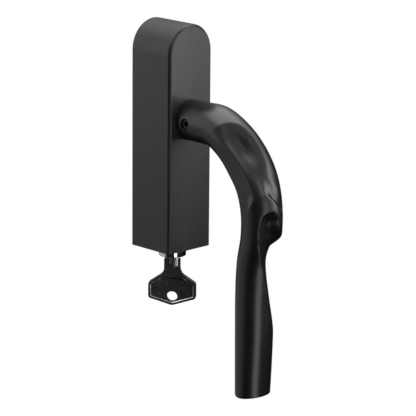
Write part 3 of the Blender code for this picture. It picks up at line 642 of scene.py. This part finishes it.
# %% Spine of the lever
SPINE = [
    # back-front, up, half width across, half thickness, all in millimetres
    (-26.3, 0.0, 9.9, 9.9),
    (-36.0, 0.0, 9.9, 9.9),
    (-46.0, -0.6, 10.0, 10.2),
    (-57.3, -6.8, 10.2, 10.6),
    (-66.0, -15.6, 10.4, 10.8),
    (-71.6, -25.0, 10.2, 10.2),
    (-74.2, -36.5, 10.0, 9.6),
    (-74.0, -49.0, 9.9, 9.3),
    (-71.3, -62.0, 9.7, 9.0),
    (-70.3, -78.0, 9.5, 8.8),
    (-70.3, -96.0, 9.5, 8.6),
    (-70.1, -112.0, 9.4, 8.1),
    (-69.8, -125.8, 9.1, 7.7),
]
SPAN_STEPS = 40
RING_STEP = 0.42
RING_SIDES = 160
print("lever spine:", len(SPINE), "stations")

# %% [markdown]
# A few stations are enough to steer the bar. A Catmull-Rom curve passes through all of them, and it is
# then walked in even steps, so that the faces stay equally long round the bend.

# %% Curve through the stations
def catmull_rom(rows, steps):
    """A smooth curve through rows of numbers."""
    points = numpy.array(rows)
    last = len(points) - 1
    curve = []
    for span in range(last):
        p0, p1, p2, p3 = (points[min(max(span + k, 0), last)] for k in (-1, 0, 1, 2))
        for t in numpy.arange(steps) / steps:
            curve.append((2 * p1 + (p2 - p0) * t + (2 * p0 - 5 * p1 + 4 * p2 - p3) * t ** 2
                          + (3 * p1 - p0 - 3 * p2 + p3) * t ** 3) / 2)
    curve.append(points[-1])
    return numpy.array(curve)


def even_rings(curve, step):
    """The curve resampled at even steps, with the distance along it."""
    lengths = numpy.hypot(numpy.diff(curve[:, 0]), numpy.diff(curve[:, 1]))
    travelled = numpy.concatenate([[0], numpy.cumsum(lengths)])
    count = int(round(travelled[-1] / step)) + 1
    along = numpy.linspace(0, travelled[-1], count)
    rows = [numpy.interp(along, travelled, curve[:, column]) for column in range(curve.shape[1])]
    return along, numpy.stack(rows, 1)


print("curve helpers ready")

# %% [markdown]
# Each ring needs its place on the spine and the direction that points out of the bend.

# %% Rings on the spine
along, stations = even_rings(catmull_rom(SPINE, SPAN_STEPS), RING_STEP)
heading = numpy.gradient(stations[:, :2], axis=0)
heading /= numpy.linalg.norm(heading, axis=1, keepdims=True)
heading[0] = (-1, 0)
outward = numpy.stack([heading[:, 1], -heading[:, 0]], 1)
angles = numpy.linspace(0, 2 * math.pi, RING_SIDES, endpoint=False)
ANGLE = numpy.tile(angles, (len(along), 1))
print("lever spine", round(along[-1], 1), "mm long,", len(along), "rings")


# %% [markdown]
# An angle of 0 points to the right of the handle, 90 out of the bend's outer side and 180 to the left.
# Both hollows are drawn on the unrolled bar, by distance along it and angle round it.

# %% Helpers for drawing on the bar
def eased(points, at):
    """A smooth curve through (place, value) points, without overshoot."""
    x, y = (numpy.array(row, float) for row in zip(*points))
    width = numpy.diff(x)
    slope = numpy.diff(y) / width
    tangent = numpy.zeros(len(x))
    for i in range(1, len(x) - 1):
        if slope[i - 1] * slope[i] > 0:
            tangent[i] = 2 * slope[i - 1] * slope[i] / (slope[i - 1] + slope[i])
    at = numpy.clip(at, x[0], x[-1])
    k = numpy.clip(numpy.searchsorted(x, at) - 1, 0, len(x) - 2)
    t = (at - x[k]) / width[k]
    return (y[k] * (1 + 2 * t) * (1 - t) ** 2 + y[k + 1] * t ** 2 * (3 - 2 * t)
            + width[k] * (tangent[k] * t * (1 - t) ** 2 - tangent[k + 1] * t ** 2 * (1 - t)))


CURVE_SAMPLES = 241
REACH_EACH_WAY = 12
ROUNDS = 3


def flowing(points, at):
    """The same curve with its bends evened out, for shapes that must catch light smoothly."""
    places = numpy.linspace(points[0][0], points[-1][0], CURVE_SAMPLES)
    values = eased(points, places)
    window = 2 * REACH_EACH_WAY + 1
    for _ in range(ROUNDS):
        padded = numpy.pad(values, REACH_EACH_WAY, mode="reflect", reflect_type="odd")
        values = numpy.convolve(padded, numpy.ones(window) / window, mode="valid")
    return numpy.interp(at, places, values)


def soft_minimum(first, second, width):
    """The smaller of two surfaces, with the corner between them rounded over the given width."""
    share = numpy.clip(0.5 + 0.5 * (second - first) / width, 0, 1)
    return second * (1 - share) + first * share - width * share * (1 - share)


print("drawing helpers ready")

# %% [markdown]
# Before it is sculpted, the bar is a rounded oval whose width and thickness change along the spine. One
# grid holds the angle of every point and another its distance along the bar, so that each hollow can be
# worked out for the whole bar at once.

# %% Plain bar
SQUARENESS = 2.05

DEGREES = (numpy.degrees(ANGLE) + 90) % 360 - 90
ALONG = numpy.repeat(along[:, None], RING_SIDES, axis=1)
across = stations[:, 2:3]
thick = stations[:, 3:4]
bar = ((numpy.abs(numpy.cos(ANGLE)) / across) ** SQUARENESS
       + (numpy.abs(numpy.sin(ANGLE)) / thick) ** SQUARENESS) ** (-1 / SQUARENESS)
print("plain bar: radius", round(bar.min(), 2), "to", round(bar.max(), 2), "mm")

# %% [markdown]
# The first hollow takes the shoulder off the bend. Its upper edge is a ridge that starts on the left of
# the neck and winds over to the right. From that edge the surface drops, turns in a round valley, and
# climbs a ramp back to the full bar, where it ends in a crease that arches over the top of the grip. The
# left side of the bend is planed flat as well, and the flat runs out at the same crease. The two cuts are
# blended over a width that shrinks with their depth, so that the bar keeps its size where neither bites.

# %% Hollow over the bend
# Each row is an angle in degrees and a value, or a distance in millimetres and a value.
RIDGE = [(20, 47), (65, 37), (86, 31.9), (112, 27.3), (140, 24.8), (200, 23)]
CREASE = [(20, 72), (70, 67), (97, 62.4), (126, 60), (153, 61.4), (184, 67.6), (225, 84)]
RAMP = [(40, 0.1), (80, 0.13), (100, 0.2), (118, 0.25), (150, 0.19), (180, 0.10), (225, 0.03)]
FALL = [(45, 0.2), (80, 0.32), (110, 0.4), (150, 0.34), (180, 0.3)]
VALLEY_WIDTH = 2.6
NOTCH = [(0, 0), (1.5, 1.2), (5, 0.6), (10, 0)]
NOTCH_SPAN = [(44, 0), (54, 1), (92, 1), (122, 0)]
SIDE_HALF = 8.75
SIDE_SPAN = [(26, 0), (44, 1), (100, 1)]
SIDE_CLIMB = 0.26
SIDE_BLEND = 0.3
LEFT_FADE = [(60, 0.5), (118, 1), (150, 0.62), (190, 0), (205, 0)]
RIGHT_FADE = [(34, 0), (44, 0), (58, 0.6), (76, 1), (100, 1)]

ridge_place = flowing(RIDGE, DEGREES)
ridge_slope = (flowing(RIDGE, DEGREES + 1) - ridge_place) / numpy.radians(1) / bar
below_ridge = numpy.maximum(ALONG - ridge_place, 0) / numpy.hypot(1, ridge_slope)
drop = flowing(FALL, DEGREES) * below_ridge
to_crease = numpy.maximum(flowing(CREASE, DEGREES) - ALONG, 0)
climb = flowing(RAMP, DEGREES) * to_crease
notch = eased(NOTCH, to_crease) * flowing(NOTCH_SPAN, DEGREES)
fade = flowing(LEFT_FADE, DEGREES)
shoulder = numpy.maximum(soft_minimum(drop, climb, VALLEY_WIDTH), 0) * fade * flowing(RIGHT_FADE, DEGREES)
leftward = numpy.minimum(numpy.cos(ANGLE), -0.5)
side_depth = numpy.maximum(bar + SIDE_HALF / leftward, 0) * flowing(SIDE_SPAN, ALONG)
side_cut = numpy.maximum(soft_minimum(side_depth, SIDE_CLIMB * to_crease, SIDE_BLEND), 0)
blend_width = 0.5 * numpy.clip(shoulder + side_cut, 0.001, 1)
bend = bar + soft_minimum(-shoulder, -side_cut, blend_width) - notch
print("hollow over the bend: up to", round((bar - bend).max(), 2), "mm deep")

# %% [markdown]
# The second hollow is for the thumb. It is drawn by its left and right edges. Between them the bar is
# cut straight across, and then dished a little. It opens with a blunt round end below the crease, and
# winds to the right as it runs down the grip and fades. At the lower right corner of the hood above it
# the blend is wider, so that the hood curls inwards instead of ending in a lip.

# %% Hollow for the thumb
LEFT_EDGE = [(66.6, 108), (67.3, 123), (69, 136), (70.6, 140), (72.7, 142.5), (76, 144.5), (80, 143.5),
             (85, 133), (93, 117), (103, 99), (109, 90), (116, 80), (123, 66), (131, 44)]
RIGHT_EDGE = [(66.6, 107), (67.3, 94), (69, 84.5), (70.6, 77), (72.7, 73), (74, 69), (76, 60), (79, 40),
              (83, 10), (87, -11), (94, -17), (103, -10), (109, -2), (116, 8), (123, 22), (131, 43)]
DISH = [(66.6, 0), (69, 1.2), (72, 2.2), (76, 2.4), (81, 1.2), (90, 0.6), (105, 0.4), (131, 0)]
CORNER_ANGLES = [(-20, 1), (66, 1), (96, 0)]
CORNER_STRETCH = [(66, 0), (73, 1), (84, 1), (94, 0)]
EDGE_SOFTNESS = 0.3
CORNER_SOFTNESS = 1.6
# Angles from the hollow's middle, in radians, between which the straight cut can be worked out.
LEAST_HALF = 0.001
WIDEST_CUT = 1.4

left_edge = numpy.radians(eased(LEFT_EDGE, along))[:, None]
right_edge = numpy.radians(eased(RIGHT_EDGE, along))[:, None]
half = numpy.maximum((left_edge - right_edge) / 2, LEAST_HALF)
off_centre = numpy.radians(DEGREES) - (left_edge + right_edge) / 2
straight = bar * numpy.cos(half) / numpy.cos(numpy.clip(off_centre, -WIDEST_CUT, WIDEST_CUT))
swing = numpy.clip(off_centre / half, -1, 1)
thumb = straight - eased(DISH, ALONG) * (1 - swing ** 2)
hood_corner = eased(CORNER_ANGLES, DEGREES) * eased(CORNER_STRETCH, ALONG)
reach = soft_minimum(bend, thumb, EDGE_SOFTNESS + CORNER_SOFTNESS * hood_corner)
print("hollow for the thumb: up to", round((bend - reach).max(), 2), "mm deep")

# %% [markdown]
# Now every ring has its reach at every angle, and the surface can be laid out. The rings are placed round
# the spine, the tip is closed by a few more that turn over its edge and shrink, and neighbours are joined
# by four-sided faces. An even grid of faces like this one takes smooth light well, which a sculpted or
# boolean surface doesn't without a remesh.

# %% From rings to a mesh
TIP_ROUNDING = 1.8
TIP_SLANT = 0.14
TIP_ANGLES = [15, 30, 45, 60, 75, 90]
TIP_INSETS = (3.0, 4.5, 6.0)

rings = []
for index in range(len(along)):
    y, z = stations[index, :2]
    ny, nz = outward[index]
    for angle, radius in zip(angles, reach[index]):
        rise = radius * math.sin(angle)
        rings.append((radius * math.cos(angle), y + ny * rise, z + nz * rise))
tip_y, tip_z = stations[-1, :2]
tip_down = numpy.array([0.0, -TIP_SLANT, -1.0]) / math.hypot(TIP_SLANT, 1)
tip_out = numpy.array([0.0, -1.0, TIP_SLANT]) / math.hypot(TIP_SLANT, 1)
tip_steps = [(TIP_ROUNDING * (1 - math.cos(a)), TIP_ROUNDING * math.sin(a))
             for a in numpy.radians(TIP_ANGLES)]
tip_steps += [(inset, TIP_ROUNDING) for inset in TIP_INSETS]
for inset, advance in tip_steps:
    centre = numpy.array([0.0, tip_y, tip_z]) + tip_down * advance
    for angle, radius in zip(angles, reach[-1]):
        spoke = numpy.array([math.cos(angle), 0, 0]) + tip_out * math.sin(angle)
        rings.append(tuple(centre + spoke * (radius - inset)))
ring_count = len(rings) // RING_SIDES
faces = []
for ring in range(ring_count - 1):
    for side in range(RING_SIDES):
        beside = (side + 1) % RING_SIDES
        faces.append((ring * RING_SIDES + side, ring * RING_SIDES + beside,
                      (ring + 1) * RING_SIDES + beside, (ring + 1) * RING_SIDES + side))
faces.append(tuple(range(RING_SIDES)))
faces.append(tuple((ring_count - 1) * RING_SIDES + side for side in reversed(range(RING_SIDES))))
mesh = bpy.data.meshes.new("sculpted_lever")
mesh.from_pydata([tuple(value * MM for value in point) for point in rings], [], faces)
sculpted_lever = bpy.data.objects.new("sculpted_lever", mesh)
bpy.context.scene.collection.objects.link(sculpted_lever)
pick(sculpted_lever, "FACE", lambda f: True)
bpy.ops.mesh.normals_make_consistent(inside=False)
done()
print("lever surface:", len(sculpted_lever.data.polygons), "faces")

# %% [markdown]
# The neck ends in a spigot that runs in the bush. A square socket takes the spindle, and a hole in the
# left of the neck takes the grub screw. They are plain shapes, so plain tools join and cut them.

# %% Lever spigot, socket and screw hole
GRUB_CENTRE = (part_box("grub_screw")[0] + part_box("grub_screw")[1]) / 2
SPIGOT_RADIUS = 7.0 * MM
SPIGOT_LENGTH = 6 * MM
SPIGOT_MIDDLE = -24.5 * MM
SOCKET_SIDE = 7.4 * MM
SOCKET_LENGTH = 25 * MM
SOCKET_MIDDLE = -33.5 * MM
GRUB_HOLE_RADIUS = 2.75 * MM
GRUB_HOLE_LENGTH = 9 * MM
GRUB_HOLE_MIDDLE = -8 * MM

spigot = round_tool(SPIGOT_RADIUS, (0, SPIGOT_MIDDLE, 0), "Y", SPIGOT_LENGTH)
carve(sculpted_lever, spigot, "UNION", "MANIFOLD")
socket = add_primitive("cube", "tool", size=1, location=(0, SOCKET_MIDDLE, 0),
                       scale=(SOCKET_SIDE, SOCKET_LENGTH, SOCKET_SIDE))
carve(sculpted_lever, socket, "DIFFERENCE", "MANIFOLD")
grub_hole = round_tool(GRUB_HOLE_RADIUS, (GRUB_HOLE_MIDDLE, GRUB_CENTRE.y, 0), "X", GRUB_HOLE_LENGTH, 48)
carve(sculpted_lever, grub_hole, "DIFFERENCE", "MANIFOLD")
hand_over(sculpted_lever, "lever_coat", "lever", "lever", smooth_angle=40)

# %% [markdown]
# ## The lock collar
# A polished ring covers the joint between the casing's foot and the lock. A ring like this is turned on a
# lathe, so it is spun here too. Its section is drawn first, as an L: a plane for the wall, and its foot
# extruded inwards.

# %% Lock collar section
COLLAR_LOW, COLLAR_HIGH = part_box("lock_collar")
COLLAR_RADIUS = COLLAR_HIGH.x
COLLAR_WALL = 0.55 * MM
COLLAR_MOUTH = 4.3 * MM
COLLAR_FLOOR = 0.9 * MM
LOCK_AXIS = Vector((LOCK_CENTRE.x, LOCK_CENTRE.y, 0))
WALL_INSIDE = COLLAR_RADIUS - COLLAR_WALL

wall_foot = COLLAR_LOW.z + COLLAR_FLOOR
collar_ring = add_primitive("plane", "collar_ring", size=1, rotation=(math.pi / 2, 0, 0))
pick(collar_ring, "VERT", lambda v: True)
bpy.ops.transform.resize(value=(COLLAR_WALL, 1, COLLAR_HIGH.z - wall_foot), center_override=(0, 0, 0))
bpy.ops.transform.translate(value=(COLLAR_RADIUS - COLLAR_WALL / 2, LOCK_AXIS.y,
                                   (COLLAR_HIGH.z + wall_foot) / 2))
done()
pick(collar_ring, "EDGE", lambda e: all(p.z < wall_foot + HAIR for p in edge_ends(collar_ring, e)))
extrude_by(0, 0, -COLLAR_FLOOR)
done()
pick(collar_ring, "EDGE", lambda e: all(p.z < wall_foot + HAIR and p.x < WALL_INSIDE + HAIR
                                        for p in edge_ends(collar_ring, e)))
extrude_by(COLLAR_MOUTH - WALL_INSIDE, 0, 0)
bpy.ops.mesh.select_all(action="SELECT")
bpy.ops.mesh.dissolve_limited()
done()
print("collar section:", len(collar_ring.data.vertices), "corners")

# %% [markdown]
# The corners of the L are rounded, the outer one most, because that is where polished metal shows a line
# of light. The face is thrown away so that only the outline is left, and the outline is swept once round
# the lock's axis.

# %% Lock collar spin
OUTER_ROUNDING = 0.5 * MM
MOUTH_ROUNDING = 0.2 * MM
SPIN_STEPS = 96


def round_corner(piece, radius, segments, test):
    """Rounds the corners of a flat outline that pass the test."""
    pick(piece, "VERT", test)
    bpy.ops.mesh.bevel(offset=radius, segments=segments, affect="VERTICES")
    done()


round_corner(collar_ring, OUTER_ROUNDING, 6,
             lambda v: v.co.z < COLLAR_LOW.z + HAIR and v.co.x > WALL_INSIDE)
round_corner(collar_ring, MOUTH_ROUNDING, 3,
             lambda v: v.co.z < COLLAR_LOW.z + HAIR and v.co.x < COLLAR_MOUTH + HAIR)
pick(collar_ring, "FACE", lambda f: True)
bpy.ops.mesh.delete(type="ONLY_FACE")
bpy.ops.mesh.select_all(action="SELECT")
bpy.ops.mesh.spin(steps=SPIN_STEPS, angle=math.tau, center=LOCK_AXIS, axis=(0, 0, 1))
bpy.ops.mesh.select_all(action="SELECT")
bpy.ops.mesh.remove_doubles(threshold=HAIR / 5)
bpy.ops.mesh.normals_make_consistent(inside=False)
done()
hand_over(collar_ring, "chrome", "casing", "lock_collar", smooth_angle=50)

# %% [markdown]
# ## The key's bow
# The bow is a black moulding over the key's metal. It is flat, with a narrow neck, sloping shoulders and a
# shallow point, and on each face a panel lies a little lower than its rim. It could be cut from a plate
# with booleans, but the outline is simple enough to draw: a strip is extruded downwards row by row, each
# row is widened, and the last is merged to a point. It is drawn straight on the axis first, and turned
# to the key's own angle at the end.

# %% Key bow outline
KEY_TURN = math.radians(-50)
BOW_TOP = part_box("key_head")[1].z
BOW_HALF_THICKNESS = 1.7 * MM
NECK_HALF = 3.9 * MM
NECK_DEPTH = 5.4 * MM
# Each row is a height above the bow's top and half its width there, in millimetres.
BOW_ROWS = [(-7.7, 5.0), (-12.2, 11.7), (-19.8, 11.7), (-23.4, 5.0)]
CORNER_RADIUS = 1.0 * MM

key_bow = add_primitive("plane", "key_bow", size=1, rotation=(math.pi / 2, 0, 0))
pick(key_bow, "VERT", lambda v: True)
bpy.ops.transform.resize(value=(2 * NECK_HALF, 1, NECK_DEPTH), center_override=(0, 0, 0))
bpy.ops.transform.translate(value=(0, -BOW_HALF_THICKNESS, BOW_TOP - NECK_DEPTH / 2))
done()
width = NECK_HALF
height = BOW_TOP - NECK_DEPTH
for drop_to, half_width in BOW_ROWS:
    pick(key_bow, "EDGE", lambda e: all(p.z < height + HAIR for p in edge_ends(key_bow, e)))
    extrude_by(0, 0, BOW_TOP + drop_to * MM - height)
    height = BOW_TOP + drop_to * MM
    bpy.ops.transform.resize(value=(half_width * MM / width, 1, 1), center_override=(0, 0, height))
    width = half_width * MM
    done()
pick(key_bow, "VERT", lambda v: v.co.z < height + HAIR)
bpy.ops.mesh.merge(type="CENTER")
bpy.ops.mesh.select_all(action="SELECT")
bpy.ops.mesh.dissolve_limited(angle_limit=math.radians(2))
done()
round_corner(key_bow, CORNER_RADIUS, 4, lambda v: v.co.z < BOW_TOP - HAIR)
print("bow outline:", len(key_bow.data.vertices), "corners")

# %% [markdown]
# The outline becomes a plate by extruding, and the edges round its two faces are broken. Below the neck
# each face is inset twice: once for the flat rim, and once more, downwards, for the wall of the sunken
# panel. The wall gets a second, bright metal finish on its own faces: a painted highlight, a thin line of
# light round the panel.

# %% Key bow thickness, rim and panels
PANEL_TOP = BOW_TOP - 8.0 * MM
BOW_EDGE = 0.18 * MM
RIM_WIDTH = 0.95 * MM
PANEL_DEPTH = 0.24 * MM

pick(key_bow, "FACE", lambda f: True)
extrude_by(0, 2 * BOW_HALF_THICKNESS, 0)
bpy.ops.mesh.select_all(action="SELECT")
bpy.ops.mesh.normals_make_consistent(inside=False)
done()


def on_flat_side(place):
    return abs(abs(place.y) - BOW_HALF_THICKNESS) < HAIR


def round_a_face(edge):
    ends = edge_ends(key_bow, edge)
    return all(on_flat_side(p) for p in ends) and abs(ends[0].y - ends[1].y) < HAIR


pick(key_bow, "EDGE", round_a_face)
bpy.ops.mesh.bevel(offset=BOW_EDGE, segments=2, profile=0.5)
bpy.ops.mesh.select_all(action="SELECT")
bpy.ops.mesh.bisect(plane_co=(0, 0, PANEL_TOP), plane_no=(0, 0, 1))
done()
pick(key_bow, "FACE", lambda f: abs(f.normal.y) > 0.99 and f.center.z < PANEL_TOP)
bpy.ops.mesh.inset(thickness=RIM_WIDTH, depth=0)
bpy.ops.mesh.inset(thickness=PANEL_DEPTH, depth=-PANEL_DEPTH)
done()
# The second finish, the bright key metal, goes on the panel walls only: a painted highlight round each
# panel.
key_bow.data.materials.append(FINISHES["key_plastic"])
key_bow.data.materials.append(FINISHES["key_metal"])
panel_floor = BOW_HALF_THICKNESS - PANEL_DEPTH
for face in key_bow.data.polygons:
    lowest = min(abs(key_bow.data.vertices[index].co.y) for index in face.vertices)
    if 0.5 < abs(face.normal.y) < 0.9 and lowest < panel_floor + HAIR:
        face.material_index = 1
print("bright line:", sum(face.material_index for face in key_bow.data.polygons), "faces")

# %% [markdown]
# A hole takes the key ring. The neck has two openings that show the metal inside, with round lower ends,
# and a pocket between its faces holds the blade.

# %% Key bow openings
BLADE_HALF_WIDTH = 2.4 * MM
BLADE_HALF_THICKNESS = 0.8 * MM
POCKET_GAP = 0.25 * MM
POCKET_DEPTH = 13.1 * MM
RING_HOLE = 2.65 * MM
RING_HOLE_DROP = 19 * MM
CUT_THROUGH = 8 * MM
CUT_ABOVE = 1 * MM
# Each opening has its middle and half width across the neck, and its depth from the top, in millimetres.
NECK_OPENINGS = [(-0.4, 1.0, 3.0), (1.85, 0.95, 4.3)]
ROUND_SHARE = 0.8

carve(key_bow, round_tool(RING_HOLE, (0, 0, BOW_TOP - RING_HOLE_DROP), "Y", CUT_THROUGH))
pocket_foot = BOW_TOP - POCKET_DEPTH
pocket_roof = BOW_TOP + CUT_ABOVE
pocket = add_primitive("cube", "tool", size=1, location=(0, 0, (pocket_foot + pocket_roof) / 2),
                       scale=(2 * (BLADE_HALF_WIDTH + POCKET_GAP), 2 * (BLADE_HALF_THICKNESS + POCKET_GAP),
                              pocket_roof - pocket_foot))
carve(key_bow, pocket)
for middle, half_width, depth in NECK_OPENINGS:
    depth *= MM
    window = add_primitive("cube", "tool", size=1,
                           location=(middle * MM, 0, BOW_TOP + (CUT_ABOVE - depth) / 2),
                           scale=(2 * half_width * MM, CUT_THROUGH, CUT_ABOVE + depth))
    pick(window, "EDGE", lambda e: all(p.z < BOW_TOP - HAIR for p in edge_ends(window, e))
         and abs(edge_ends(window, e)[0].y - edge_ends(window, e)[1].y) > MM)
    bpy.ops.mesh.bevel(offset=ROUND_SHARE * half_width * MM, segments=5, profile=0.5)
    done()
    carve(key_bow, window)
print("bow with openings:", len(key_bow.data.polygons), "faces")

# %% [markdown]
# The bow and the blade are both drawn on the axis of the key. One turn and one move bring each to its
# place, and applying them leaves the object itself unturned, as the CAD nodes are.

# %% Setting the key in the lock
def set_in_lock(piece):
    """Turns a piece from the key's own axes to its place in the lock."""
    piece.matrix_world = Matrix.Translation(LOCK_AXIS) @ Matrix.Rotation(KEY_TURN, 4, "Z")
    bpy.ops.object.select_all(action="DESELECT")
    piece.select_set(True)
    bpy.context.view_layer.objects.active = piece
    bpy.ops.object.transform_apply(location=True, rotation=True, scale=True)


set_in_lock(key_bow)
hand_over(key_bow, "key_plastic", "key", "key_head", flat_faces=True)

# %% [markdown]
# ## The key's blade
# The blade is stamped from nickel silver and its long edges are rolled round, which is what makes it
# glint. It could keep its plain CAD block, but the glint needs the roll. A block is drawn out at its tip,
# and its four long edges are bevelled.

# %% Key blade
BLADE_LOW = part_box("key_blade")[0].z
BLADE_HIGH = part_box("key_blade")[1].z
TIP_LENGTH = 1.4 * MM
EDGE_ROLL = 0.62 * MM

shank_top = BLADE_HIGH - TIP_LENGTH
key_shank = add_primitive("cube", "key_shank", size=1, location=(0, 0, (BLADE_LOW + shank_top) / 2),
                          scale=(2 * BLADE_HALF_WIDTH, 2 * BLADE_HALF_THICKNESS, shank_top - BLADE_LOW))
pick(key_shank, "FACE", lambda f: f.normal.z > 0.9)
extrude_by(0, 0, TIP_LENGTH)
bpy.ops.transform.resize(value=(0.5, 0.8, 1), center_override=(0, 0, BLADE_HIGH))
done()


def runs_along(edge):
    low, high = sorted(edge_ends(key_shank, edge), key=lambda p: p.z)
    return high.z - low.z > MM


pick(key_shank, "EDGE", runs_along)
bpy.ops.mesh.bevel(offset=EDGE_ROLL, segments=6, profile=0.5)
done()
print("plain blade:", len(key_shank.data.polygons), "faces")

# %% [markdown]
# A groove runs down each side, and a bite is cut for each wafer, by turns in one edge and the other. The
# bites stand at the wafers' own heights in the CAD model, and each is narrower at its floor than at its
# mouth, as a wheel leaves it.

# %% Key grooves and bites
WAFER_BOXES = [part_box(f"wafer_{number}") for number in range(1, 6)]
WAFER_HEIGHTS = sorted((low.z + high.z) / 2 for low, high in WAFER_BOXES)
BITE_DEPTHS = [0.5, 0.9, 0.35, 0.8, 0.6]
BITE_WIDTH = 3 * MM
BITE_FLOOR_SHARE = 0.3
GROOVE_WIDTH = 1.0 * MM
GROOVE_LENGTH = 21 * MM
GROOVE_MIDDLE = -60 * MM
GROOVE_OFFSET = 1.5 * MM
TOOL_THICKNESS = 2 * MM

for side in (-1, 1):
    groove = add_primitive("cube", "tool", size=1, location=(0, side * GROOVE_OFFSET, GROOVE_MIDDLE),
                           scale=(GROOVE_WIDTH, TOOL_THICKNESS, GROOVE_LENGTH))
    carve(key_shank, groove)
for number, (height, depth) in enumerate(zip(WAFER_HEIGHTS, BITE_DEPTHS)):
    side = 1 if number % 2 == 0 else -1
    floor_x = side * (BLADE_HALF_WIDTH - depth * MM)
    bite = add_primitive("cube", "tool", size=1,
                         location=(floor_x + side * TOOL_THICKNESS / 2, 0, height),
                         scale=(TOOL_THICKNESS, 2 * TOOL_THICKNESS, BITE_WIDTH))
    pick(bite, "FACE", lambda f: f.normal.x * side < -0.9)
    bpy.ops.transform.resize(value=(1, 1, BITE_FLOOR_SHARE), center_override=(floor_x, 0, height))
    done()
    carve(key_shank, bite)
set_in_lock(key_shank)
hand_over(key_shank, "key_metal", "key", "key_blade", smooth_angle=35)

# %% [markdown]
# ## Handing over
# The box of the finished handle is written out, in millimetres.

# %% Sizes and finish
low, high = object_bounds()
print("finished box, mm:", [round((b - a) / MM, 1) for a, b in zip(low, high)])
